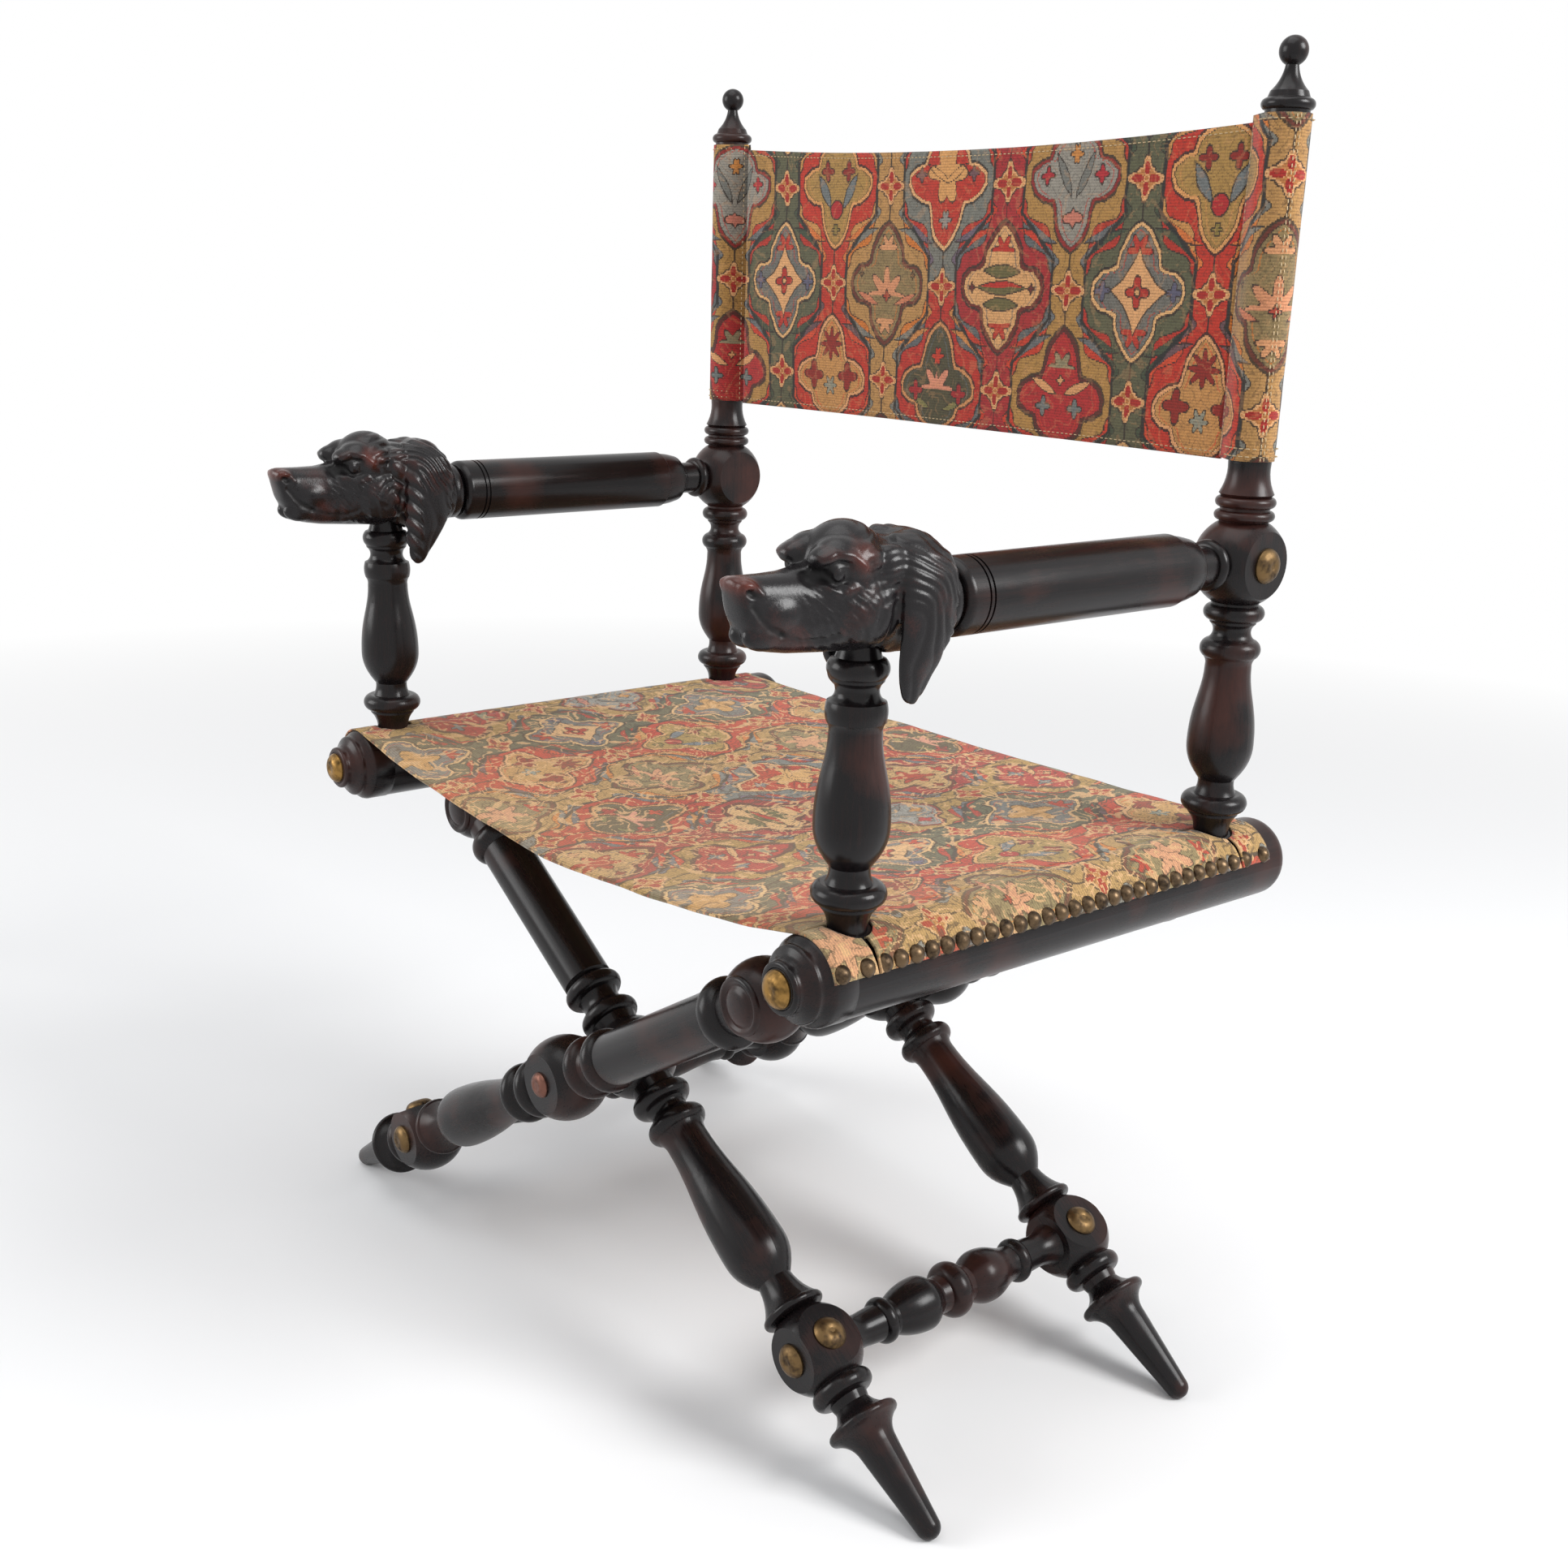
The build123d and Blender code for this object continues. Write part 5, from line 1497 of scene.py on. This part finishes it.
@dataclass
class HoundHead:
    """A carved hound's head: solid forms merged into one skin, then cut with the gouge.

    Sizes are in millimetres: behind the nose, above the arm's axis, and out from the head's middle.
    """

    wood: bpy.types.Material
    nose_y_mm: float = -270.25
    axis_x_mm: float = RAIL_X_MM
    axis_z_mm: float = 668.5
    post_mm: float = 103.0
    seat_drop_mm: float = 12.5
    seat_radius_mm: float = 15.5
    skin_mm: float = 1.15
    soften_share: float = 0.6
    soften_times: int = 11
    collar_radius_mm: float = 23.5
    # out, behind and above
    eye: tuple[float, float, float] = (19.5, 64.5, 26.5)
    eye_radius_mm: float = 5.6
    # behind, top, bottom, half width, squareness
    sections: tuple = (
        (0.4, 24.8, 19.0, 4.5, 2.0),
        (2.0, 26.2, 12.5, 8.5, 2.2),
        (5.5, 27.0, 0.0, 12.0, 2.3),
        (12.0, 26.8, -11.5, 14.2, 2.4),
        (24.0, 26.6, -19.0, 16.2, 2.6),
        (40.0, 27.0, -21.5, 18.6, 2.6),
        (54.0, 29.5, -22.5, 21.5, 2.5),
        (68.0, 36.0, -23.5, 26.0, 2.4),
        (84.0, 46.0, -24.5, 29.0, 2.3),
        (104.0, 46.0, -27.0, 29.5, 2.2),
        (124.0, 43.0, -30.0, 29.5, 2.1),
        (143.0, 37.5, -29.0, 29.0, 2.0),
        (156.0, 29.0, -26.0, 25.5, 2.0),
        (164.0, 23.0, -23.0, 22.5, 2.0),
    )
    # above, behind, out, half length, half thickness
    ear: tuple = (
        (46.0, 124.0, 12.0, 8.0, 4.0),
        (42.0, 127.0, 18.5, 16.0, 7.0),
        (34.0, 130.0, 25.0, 20.5, 8.5),
        (22.0, 131.5, 30.0, 22.5, 8.5),
        (6.0, 130.5, 33.0, 23.0, 7.5),
        (-13.0, 127.5, 34.5, 21.5, 6.5),
        (-28.0, 122.0, 35.0, 17.5, 5.6),
        (-42.0, 118.0, 34.5, 12.0, 4.6),
        (-51.0, 117.0, 34.0, 7.5, 3.6),
        (-56.0, 117.0, 33.5, 3.0, 1.8),
    )
    # out, behind, above, then the half sizes in the same order; each is on both sides unless out is 0
    lumps: tuple = (
        (0.0, 86.0, 24.0, 27.0, 29.0, 31.0),
        (13.5, 61.0, 33.0, 10.5, 11.0, 9.5),
        (12.0, 73.0, 35.5, 14.5, 17.0, 12.0),
        (15.0, 84.0, 31.0, 15.0, 18.0, 15.0),
        (21.0, 92.0, 2.0, 11.5, 26.0, 21.0),
        (10.0, 33.0, 4.0, 9.5, 19.0, 12.5),
        (8.0, 7.5, 20.5, 5.0, 6.5, 5.5),
        (6.0, 23.0, -9.0, 8.5, 16.0, 9.0),
        (21.5, 106.0, 26.0, 9.5, 15.0, 15.0),
        (0.0, 134.0, 17.0, 31.0, 25.0, 30.5),
        (12.0, 129.0, 32.0, 15.0, 22.0, 15.5),
    )
    strokes: tuple = (
        # parting of the lips, from the nostril down and back
        Stroke(((9, 10), (14, 3), (20, -3), (29, -8)), 1.7, 2.3),
        Stroke(((29, -8), (42, -12), (56, -13), (66, -10)), 1.0, 1.8),
        # nostril and the wing above it
        Stroke(((6.5, 18.5), (9.5, 17.5)), 2.8, 2.2, 3.0),
        Stroke(((4, 22.5), (11, 22), (15, 17)), -0.9, 2.0, 3.0),
        # hollow before the eye, the lids and the fold under them
        Stroke(((49, 24), (55, 27)), 3.2, 4.5, 9.0),
        Stroke(((56, 30.5), (63, 33.5), (71, 31.5)), 1.6, 1.5, 12.0),
        Stroke(((56, 25), (63, 20.5), (71, 22.5)), 1.5, 1.6, 12.0),
        Stroke(((54, 35), (62, 38.5), (72, 36.5), (79, 30)), -1.8, 2.6, 10.0),
        Stroke(((57, 17.5), (66, 14.5), (75, 18)), -0.9, 2.4, 12.0),
        # folds of the cheek and throat
        Stroke(((84, 32), (91, 22), (94, 8), (90, -6)), 0.9, 2.6, 14.0),
        Stroke(((72, 4), (80, -6), (84, -16)), 0.8, 2.2, 12.0),
        # groove before the ear
        Stroke(((104, 6), (102, -8), (101, -26)), 1.5, 2.2, 18.0),
    )

    def ring(
        self, behind: float, top: float, bottom: float, half_width: float, power: float, steps: int = 40
    ) -> list[Vector]:
        """Draw one rounded section across the head.

        Args:
            behind: its distance behind the nose.
            top: its highest point.
            bottom: its lowest point.
            half_width: half its width.
            power: 2 for an ellipse, and more for a squarer section.
            steps: points round it.

        Returns:
            The points.
        """
        middle, half = (top + bottom) / 2, (top - bottom) / 2
        points = []
        for step in range(steps):
            turn = 2 * pi * step / steps
            c, s = cos(turn), sin(turn)
            x = half_width * abs(c) ** (2 / power) * (1 if c > 0 else -1)
            z = middle + half * abs(s) ** (2 / power) * (1 if s > 0 else -1)
            points.append(Vector((x, behind, z)))
        return points

    def loft(self, shape: bmesh.types.BMesh, rings: list[list[Vector]]) -> None:
        """Skin closed rings in order, and close both ends.

        Args:
            shape: the mesh that the skin is added to.
            rings: the rings, each with the same number of points.
        """
        made = [[shape.verts.new(point) for point in ring] for ring in rings]
        for low, high in zip(made, made[1:]):
            for step in range(len(low)):
                after = (step + 1) % len(low)
                shape.faces.new((low[step], low[after], high[after], high[step]))
        shape.faces.new(made[0][::-1])
        shape.faces.new(made[-1])

    def forms(self) -> bpy.types.Mesh:
        """Model the head's solid forms, still apart.

        Returns:
            The forms in one mesh.
        """
        shape = bmesh.new()
        self.loft(shape, [self.ring(*section) for section in self.sections])
        for out, behind, above, *halves in self.lumps:
            for side in (1, -1) if out else (1,):
                ball = Matrix.Translation((side * out, behind, above)) @ Matrix.Diagonal((*halves, 1))
                bmesh.ops.create_icosphere(shape, subdivisions=4, radius=1.0, matrix=ball)
        eye_out, eye_behind, eye_above = self.eye
        for side in (1, -1):
            rings = []
            for above, behind, out, half_length, half_thickness in self.ear:
                flat = self.ring(0, half_thickness, -half_thickness, half_length, 2.0, 28)
                rings.append([Vector((side * (out + point.z), behind + point.x, above)) for point in flat])
            self.loft(shape, rings)
            eye = Matrix.Translation((side * eye_out, eye_behind, eye_above))
            bmesh.ops.create_icosphere(shape, subdivisions=4, radius=self.eye_radius_mm, matrix=eye)
        bmesh.ops.recalc_face_normals(shape, faces=shape.faces)
        mesh = bpy.data.meshes.new("hound_forms")
        shape.to_mesh(mesh)
        shape.free()
        return mesh

    def skin(self) -> bpy.types.Mesh:
        """Merge the forms into one smooth skin.

        Returns:
            The skin in millimetres.
        """
        host = bpy.data.objects.new("hound_forms", self.forms())
        bpy.context.scene.collection.objects.link(host)
        merged = host.modifiers.new("merge", "REMESH")
        merged.mode = "VOXEL"
        merged.voxel_size = self.skin_mm
        soft = host.modifiers.new("soften", "SMOOTH")
        soft.factor = self.soften_share
        soft.iterations = self.soften_times
        mesh = bpy.data.meshes.new_from_object(host.evaluated_get(bpy.context.evaluated_depsgraph_get()))
        bpy.data.objects.remove(host)
        return mesh

    def hair(self, out: np.ndarray, behind: np.ndarray, above: np.ndarray) -> np.ndarray:
        """Work out the carved hair on the ears and the mane, and the short fur on the cheeks.

        Args:
            out: the points' distances from the head's middle, negative on the inner side.
            behind: their distances behind the nose.
            above: their heights above the arm's axis.

        Returns:
            The hair's height at each point.
        """
        side = np.abs(out)
        sway = grain_noise(np.stack((behind / 22, above / 22, out / 30), 1), 3.0)
        # locks sweep back from the brow, over the crown and down behind the ears
        sweep_zone = between(behind, 78, 90, 148, 156) * smooth_step(above, -2, 14)
        sweep = locks(np.hypot(behind - 104, above + 6) + 5 * sway, 6.2)
        # loose folds down the ears, and finer locks round the neck
        folds = locks(behind + 5 * np.sin(above / 15) + 9 * sway, 11.5) * smooth_step(behind, 104, 112)
        neck = between(behind, 140, 148, 157, 163)
        strands = locks(behind * 0.5 + above * 0.7 + 7 * sway, 6.4)
        sweep_depth = np.where(out < 0, 1.5, 0.75)
        outer = sweep_zone * sweep * sweep_depth + (1 - sweep_zone) * (folds * (1 - neck) * 0.8 + neck * strands * 1.1)
        # on the inner side a rope of curls lies before the ear
        curl_zone = between(behind, 95, 99, 116, 121) * fall(above, 28, 36)
        curls = locks(0.62 * behind + 0.78 * above + 3 * sway, 11.0, 0.55)
        inner = outer * (1 - curl_zone) + curl_zone * curls * 2.3
        carved = np.where(out < 0, inner, outer) * smooth_step(side, 2, 9)
        # short fur
        along, across = 0.75 * behind - 0.66 * above, 0.66 * behind + 0.75 * above
        fur = grain_noise(np.stack((along / 7.5, across / 2.1, out / 9), 1), 8.0)
        fur_zone = between(behind, 36, 48, 94, 104) * fall(above, 16, 30) * smooth_step(side, 9, 14)
        strong = 0.35 + 0.65 * fall(np.hypot(behind - 60, above + 1), 14, 34)
        return carved + fur * 0.75 * fur_zone * strong

    def carve(self, mesh: bpy.types.Mesh) -> np.ndarray:
        """Cut the strokes and the hair into the skin.

        Args:
            mesh: the head's skin, which is changed.

        Returns:
            How far each point was moved.
        """
        places, normals = vertex_rows(mesh, "co"), vertex_rows(mesh, "normal")
        out, behind, above = places.T
        moved = self.hair(out, behind, above)
        for stroke in self.strokes:
            moved += stroke.cut(behind, above, np.abs(out))
        _, eye_behind, eye_above = self.eye
        moved *= 1 - fall(np.hypot(behind - eye_behind, above - eye_above), 4.2, 5.2) * smooth_step(np.abs(out), 17, 19)
        places += normals * moved[:, None]
        # the seat on the post
        under = (np.hypot(out, behind - self.post_mm) < self.seat_radius_mm) & (above < -self.seat_drop_mm)
        places[under, 2] = -self.seat_drop_mm
        mesh.vertices.foreach_set("co", places.ravel())
        mesh.update()
        return moved

    def rubbed(self, mesh: bpy.types.Mesh, moved: np.ndarray) -> None:
        """Store how far the stain is rubbed through: the nose, the brow and the crests of the carving, and how deep the
        cuts lie, for their painted shade.

        Args:
            mesh: the carved skin, which gets the attributes rubbed, and deep for the painted shade in the cuts.
            moved: how far each of its points was moved.
        """
        _, behind, above = vertex_rows(mesh, "co").T
        nose = fall(behind, 5, 18) * smooth_step(above, 15, 23)
        brow = fall(np.hypot(behind - 80, above - 36), 4, 15)
        cheek = fall(np.hypot(behind - 35, above + 12), 6, 16) * 0.5
        worn = np.clip(0.8 * nose + 0.5 * brow + 0.6 * cheek + np.clip(moved, 0, 1) * 0.2, 0, 1)
        # painted shade: the deeper a cut, the darker the wood's colour there
        deep = np.clip(-moved / 2.0, 0, 1)
        for name, values in (("rubbed", worn), ("deep", deep)):
            layer = mesh.attributes.new(name, "FLOAT", "POINT")
            layer.data.foreach_set("value", values.astype(np.float32))

    def collar(self) -> bpy.types.Mesh:
        """Turn the collar that meets the arm.

        Returns:
            The collar in millimetres.
        """
        radius = self.collar_radius_mm
        rings = ((15.0, 150.0), (radius - 1.0, 160.5), (radius, 161.8), (radius, 167.8), (radius - 1.2, 169.2),
                 (radius - 4.0, 169.6), (radius - 4.0, 172.0), (0, 172.0))
        mesh = turned_mesh("hound_collar", [(0, 150.0), *rings], 48)
        mesh.transform(Matrix.Rotation(-pi / 2, 4, "X") @ Matrix.Diagonal((1 / MM, 1 / MM, 1 / MM, 1)))
        return mesh

    def build(self) -> None:
        """Carve one head and stand a copy on each arm."""
        skin = self.skin()
        self.rubbed(skin, self.carve(skin))
        whole = bmesh.new()
        whole.from_mesh(skin)
        whole.from_mesh(self.collar())
        for name, side in SIDES.items():
            mesh = bpy.data.meshes.new(f"hound_head_{name}")
            whole.to_mesh(mesh)
            place = Matrix.Translation(Vector((side * self.axis_x_mm, self.nose_y_mm, self.axis_z_mm)) * MM)
            mesh.transform(place @ Matrix.Diagonal((side * MM, MM, MM, 1)))
            if side < 0:
                mesh.flip_normals()
            smooth(mesh)
            head = add_piece(f"hound_head_{name}", mesh, self.wood)
            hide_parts(f"dog_head_{name}")
            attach(head, f"side_{name}")
        whole.free()


@dataclass(frozen=True)
class CarvedWood:
    """The same black stained beech where it is carved: darkened with painted shade and duller in the cuts, and rubbed
    to red on the crests.
    """

    name: str = "carved_wood"
    stain: str = "151214"
    rubbed: str = "5e2a20"
    # colour of the painted shade in the carved cuts
    cut: str = "0c0a0b"
    pore_mm: float = 1.6
    cloud_mm: float = 22.0
    pore_depth_mm: float = 0.35

    def material(self) -> bpy.types.Material:
        """Make the material.

        Returns:
            The material, which reads the points' attributes rubbed, and deep for the painted shade in the cuts.
        """
        material, tree, shader = new_material(self.name)
        place = put(tree, "ShaderNodeTexCoord").outputs["Object"]
        fine = put(tree, "ShaderNodeTexNoise", {0: place, "Scale": 1 / (self.pore_mm * MM), "Detail": 5.0})
        clouds = put(tree, "ShaderNodeTexNoise", {0: place, "Scale": 1 / (self.cloud_mm * MM), "Detail": 3.0})
        worn = put(tree, "ShaderNodeAttribute", attribute_name="rubbed").outputs["Fac"]
        deep = put(tree, "ShaderNodeAttribute", attribute_name="deep").outputs["Fac"]
        f = Formula(tree, fine=fine.outputs[0], cloud=clouds.outputs[0], worn=worn, deep=deep)
        f.work_out("""
            share = min(max(worn * (0.35 + 1.1 * cloud) + (cloud - 0.56) * 0.9 + (fine - 0.5) * 0.3, 0.0), 0.9)
            roughness = 0.27 + deep * 0.3 + (fine - 0.5) * 0.2
        """)
        stained = {0: f["share"], 6: linear(self.stain), 7: linear(self.rubbed)}
        colour = put(tree, "ShaderNodeMix", stained, data_type="RGBA").outputs[2]
        # painted shade darkens the colour in the cuts
        colour = put(tree, "ShaderNodeMix", {0: f["deep"], 6: colour, 7: linear(self.cut)}, data_type="RGBA").outputs[2]
        pores = {"Height": fine.outputs[0], "Strength": 0.3, "Distance": self.pore_depth_mm * MM}
        bump = put(tree, "ShaderNodeBump", pores)
        feed(tree, shader, {"Base Color": colour, "Roughness": f["roughness"], "Normal": bump.outputs[0],
                            "IOR": 1.5, "Specular IOR Level": 0.3})
        return material


# Turned frame


@dataclass
class TurnedFrame:
    """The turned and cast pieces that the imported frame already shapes: they only get their finish."""

    wood: EbonisedWood
    brass: OldMetal
    bronze: OldMetal
    copper: OldMetal
    steel: OldMetal

    def grain_of(self, node: str) -> Grain:
        """Tell which way the grain runs.

        Args:
            node: the name of a wooden node.

        Returns:
            The grain's direction.
        """
        if node.startswith(("seat_rail", "arm", "stretcher", "hinge_batten")):
            return Grain.LENGTHWISE
        if node.startswith("leg_a"):
            return Grain.LEG_A
        if node.startswith("leg_b"):
            return Grain.LEG_B
        return Grain.UPRIGHT

    def dress(self) -> None:
        """Give every node of the frame its finish."""
        woods = {grain: self.wood.material(grain) for grain in Grain}
        bright, dark = self.brass.material(), self.bronze.material()
        metals = {"copper": self.copper.material(), "steel": self.steel.material()}
        slots = {part["node"]: part["material_slot"] for part in frame["record"]["subparts"]}
        for name, node in frame["nodes"].items():
            if slots[name] == "brass":
                finish = bright if name.startswith("rail_stud") else dark
            else:
                finish = metals.get(slots[name]) or woods[self.grain_of(name)]
            node.data.materials.clear()
            node.data.materials.append(finish)
            log.info("%s: %s", name, finish.name)


@dataclass
class TurnedTrim:
    """Fine turnings that stand on the frame's plain ends: the rails' stepped caps and the knuckles' bosses."""

    wood: EbonisedWood
    rail_x_mm: float = RAIL_X_MM
    rail_z_mm: float = RAIL_Z_MM
    rail_front_mm: float = -223.75
    knuckle_x_mm: float = 251.0
    knuckle_z_mm: float = 392.0
    knuckle_half_mm: float = 21.0
    # leg pair, side, and the middles of its front and rear knuckle from front to rear
    knuckles: tuple = (("a", 1, -183.25, 229.75), ("b", -1, -116.25, 162.75))
    # radius and distance behind the rail's front
    cap: tuple = ((14.2, 0.3), (16.6, 0.0), (18.0, 1.2), (18.2, 2.8), (17.6, 4.2), (18.6, 7.0), (21.4, 9.6),
                  (24.6, 11.2), (26.2, 12.6), (26.6, 14.0), (26.0, 15.4), (27.0, 17.2), (29.0, 19.4), (30.8, 21.6),
                  (31.5, 24.2), (31.5, 40.8), (30.4, 42.0))
    # radius and height over the knuckle's flat
    boss: tuple = ((0.0, 5.2), (5.0, 5.0), (10.0, 4.1), (13.4, 2.6), (14.6, 1.4), (15.6, 1.5), (17.0, 3.0), (18.8, 3.4),
                   (20.4, 2.6), (21.3, 0.8), (21.6, -1.0))

    def build(self) -> None:
        """Turn the caps and the bosses and put them in place."""
        along, front = self.wood.material(Grain.LENGTHWISE), Matrix.Rotation(-pi / 2, 4, "X")
        for name, side in SIDES.items():
            cap = turned_mesh(f"rail_cap_{name}", self.cap, 64)
            at = Vector((side * self.rail_x_mm, self.rail_front_mm, self.rail_z_mm)) * MM
            cap.transform(Matrix.Translation(at) @ front)
            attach(add_piece(f"rail_cap_{name}", cap, along), f"side_{name}")
        for leg, side, *ys in self.knuckles:
            for (word, end), y in zip(ENDS.items(), ys):
                boss = turned_mesh(f"knuckle_boss_{leg}_{word}", self.boss, 48)
                turn = Matrix.Rotation(-end * pi / 2, 4, "X")
                at = Vector((side * self.knuckle_x_mm, y + end * self.knuckle_half_mm, self.knuckle_z_mm)) * MM
                boss.transform(Matrix.Translation(at) @ turn)
                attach(add_piece(f"knuckle_boss_{leg}_{word}", boss, along), f"leg_{leg}")


# Studio


@dataclass
class Studio:
    """Pale floor, white surround, soft lamps and the camera."""

    camera_at: Vector = Vector((1.1082, -0.8829, 0.8590))
    heading: float = 50.30
    pitch: float = -17.47
    roll: float = 1.78
    frame_px: int = 1932
    focal_px: float = 2172.7
    lens_drop_px: float = 60.0
    sensor_mm: float = 36.0
    # the floor's half width, where it starts to turn into a plain white, and the way it takes to do so
    floor_reach: float = 12.0
    white_from: float = 1.2
    white_over: float = 2.0
    floor_colour: str = "f4f4f4"
    sky_colour: str = "f4f6fa"
    sky_strength: float = 0.47
    lamps_aim: tuple[float, float, float] = (0.0, 0.0, 0.5)
    # name, place, side of the square face in metres and power in watts
    lamps: tuple = (
        ("key", (2.4, 1.2, 2.2), 1.3, 84.0),
        ("fill", (-2.0, -2.6, 1.6), 1.8, 52.0),
        ("top", (0.0, -0.4, 3.2), 2.2, 28.0),
    )

    def place_camera(self) -> None:
        """Put the camera where the front right corner of the chair is nearest, a little above the arms."""
        heading, pitch, roll = radians(self.heading), radians(self.pitch), radians(self.roll)
        ahead = Vector((-sin(heading) * cos(pitch), cos(heading) * cos(pitch), sin(pitch)))
        right = Vector((cos(heading), sin(heading), 0.0))
        up = right.cross(ahead)
        right, up = right * cos(roll) + up * sin(roll), up * cos(roll) - right * sin(roll)
        data = bpy.data.cameras.new("camera")
        data.sensor_width = self.sensor_mm
        data.lens = self.focal_px / self.frame_px * self.sensor_mm
        data.shift_y = self.lens_drop_px / self.frame_px
        camera = bpy.data.objects.new("camera", data)
        camera.matrix_world = Matrix((right, up, -ahead)).transposed().to_4x4()
        camera.location = self.camera_at
        bpy.context.scene.collection.objects.link(camera)
        bpy.context.scene.camera = camera

    def place_lamp(self, name: str, at: Vector, size: float, power: float) -> None:
        """Hang one soft lamp that looks at the chair's middle.

        Args:
            name: the lamp's name.
            at: its place.
            size: the side of its square face.
            power: its power in watts.
        """
        data = bpy.data.lights.new(name, "AREA")
        data.shape = "SQUARE"
        data.size = size
        data.energy = power
        lamp = bpy.data.objects.new(name, data)
        lamp.location = at
        lamp.rotation_euler = (Vector(self.lamps_aim) - at).to_track_quat("-Z", "Y").to_euler()
        bpy.context.scene.collection.objects.link(lamp)

    def fold_drop(self) -> float:
        """How far the feet sink when the chair folds.

        The right side stays where it is and the legs swing down under it.

        Returns:
            The depth in metres.
        """
        joint = next(j for j in frame["record"]["behaviour"]["joints"] if j["name"] == "leg_a_hinge")
        turn = radians(joint["range_deg"][1])
        at_x, _, at_z = joint["pos_m"]
        points = (v.co for name in ("leg_a_front", "leg_a_rear") for v in frame["nodes"][name].data.vertices)
        return -min(at_z + cos(turn) * (p.z - at_z) + sin(turn) * (p.x - at_x) for p in points)

    def seen_straight(self, tree: bpy.types.NodeTree) -> NodeSocket:
        """Tell the rays that show a surface from those that only carry its light.

        Args:
            tree: the tree that needs to know.

        Returns:
            A value that is 1 for what the camera sees straight, mirrored or through glass, and 0 otherwise.
        """
        ray = put(tree, "ShaderNodeLightPath").outputs
        camera, glossy, through = (ray[f"Is {kind} Ray"] for kind in ("Camera", "Glossy", "Transmission"))
        seen = Formula(tree, camera=camera, glossy=glossy, through=through)
        seen.work_out("straight = max(max(camera, glossy), through)")
        return seen["straight"]

    def build_floor(self) -> None:
        """Lay a pale floor that shows white where nothing shades it."""
        mesh = bpy.data.meshes.new("floor")
        reach = self.floor_reach
        ends = [(x, y, 0) for x, y in ((-reach, -reach), (reach, -reach), (reach, reach), (-reach, reach))]
        mesh.from_pydata(ends, [], [(0, 1, 2, 3)])
        floor = bpy.data.objects.new("floor", mesh)
        bpy.context.scene.collection.objects.link(floor)
        material, tree, shader = new_material("pale_floor")
        feed(tree, shader, {"Base Color": linear(self.floor_colour), "Roughness": 0.9})
        place = put(tree, "ShaderNodeSeparateXYZ", {0: put(tree, "ShaderNodeTexCoord").outputs["Object"]})
        far = Formula(tree, x=place.outputs[0], y=place.outputs[1], straight=self.seen_straight(tree))
        far.work_out(f"""
            away = sqrt(x * x + y * y)
            white = min(max((away - {self.white_from}) / {self.white_over}, 0.0), 1.0) * straight
        """)
        glow = put(tree, "ShaderNodeEmission", {"Color": linear("ffffff"), "Strength": 1.0})
        both = put(tree, "ShaderNodeMixShader", {0: far["white"], 1: shader.outputs[0], 2: glow.outputs[0]})
        tree.links.new(both.outputs[0], tree.nodes["Material Output"].inputs[0])
        mesh.materials.append(material)
        floor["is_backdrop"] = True
        1 - self.fold_drop()
        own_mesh(floor)

    def build_surround(self) -> None:
        """Light the scene softly from all round, and show it white behind the chair."""
        world = bpy.data.worlds.new("surround")
        bpy.context.scene.world = world
        world.use_nodes = True
        tree = world.node_tree
        tree.nodes.clear()
        soft = put(tree, "ShaderNodeBackground", {"Color": linear(self.sky_colour), "Strength": self.sky_strength})
        white = put(tree, "ShaderNodeBackground", {"Color": linear("ffffff"), "Strength": 1.0})
        both = put(tree, "ShaderNodeMixShader", {0: self.seen_straight(tree), 1: soft.outputs[0], 2: white.outputs[0]})
        put(tree, "ShaderNodeOutputWorld", {0: both.outputs[0]})

    def build(self) -> None:
        """Build the whole studio."""
        self.place_camera()
        self.build_floor()
        self.build_surround()
        for name, at, size, power in self.lamps:
            self.place_lamp(name, Vector(at), size, power)
        bpy.context.scene.view_settings.view_transform = "Standard"


def corners() -> list[list[float]]:
    """The shown object's lowest and highest corners as plain lists."""
    return [list(corner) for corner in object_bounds()]


def main() -> None:
    """Build and dress the chair, then the studio round it."""
    logging.basicConfig(level=logging.INFO, format="%(message)s")
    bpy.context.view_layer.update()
    wood = EbonisedWood()
    brass = OldMetal("old_brass", bright="93713f", dull="43341f")
    bronze = OldMetal("darkened_brass", bright="6f593c", dull="2b2420", roughness=0.42)
    copper = OldMetal("tarnished_copper", bright="735045", dull="3a2b27", roughness=0.42)
    steel = OldMetal("blackened_steel", bright="5a5652", dull="2c2a29", roughness=0.45)
    TurnedFrame(wood, brass, bronze, copper, steel).dress()
    TurnedTrim(wood).build()
    HoundHead(CarvedWood().material()).build()
    row = Row()
    nail = OldMetal("dull_brass_nails", bright="65533f", dull="27211d", roughness=0.36, pit_mm=1.5)
    seat_cloth = Tapestry("faded_tapestry", fade=0.14, front_fade=0.14, wander_mm=11.0, veins=0.8, tone="fdeadb")
    back_cloth = Tapestry("woven_tapestry", fade=0.0, wander_mm=4.5, veins=0.16, tone="f8d5bc")
    SeatSling(seat_cloth.material(), nail.material(), row).build()
    BackSling(back_cloth.material(), Thread().material(), row).build()
    Studio().build()


if __name__ == "__main__":
    main()
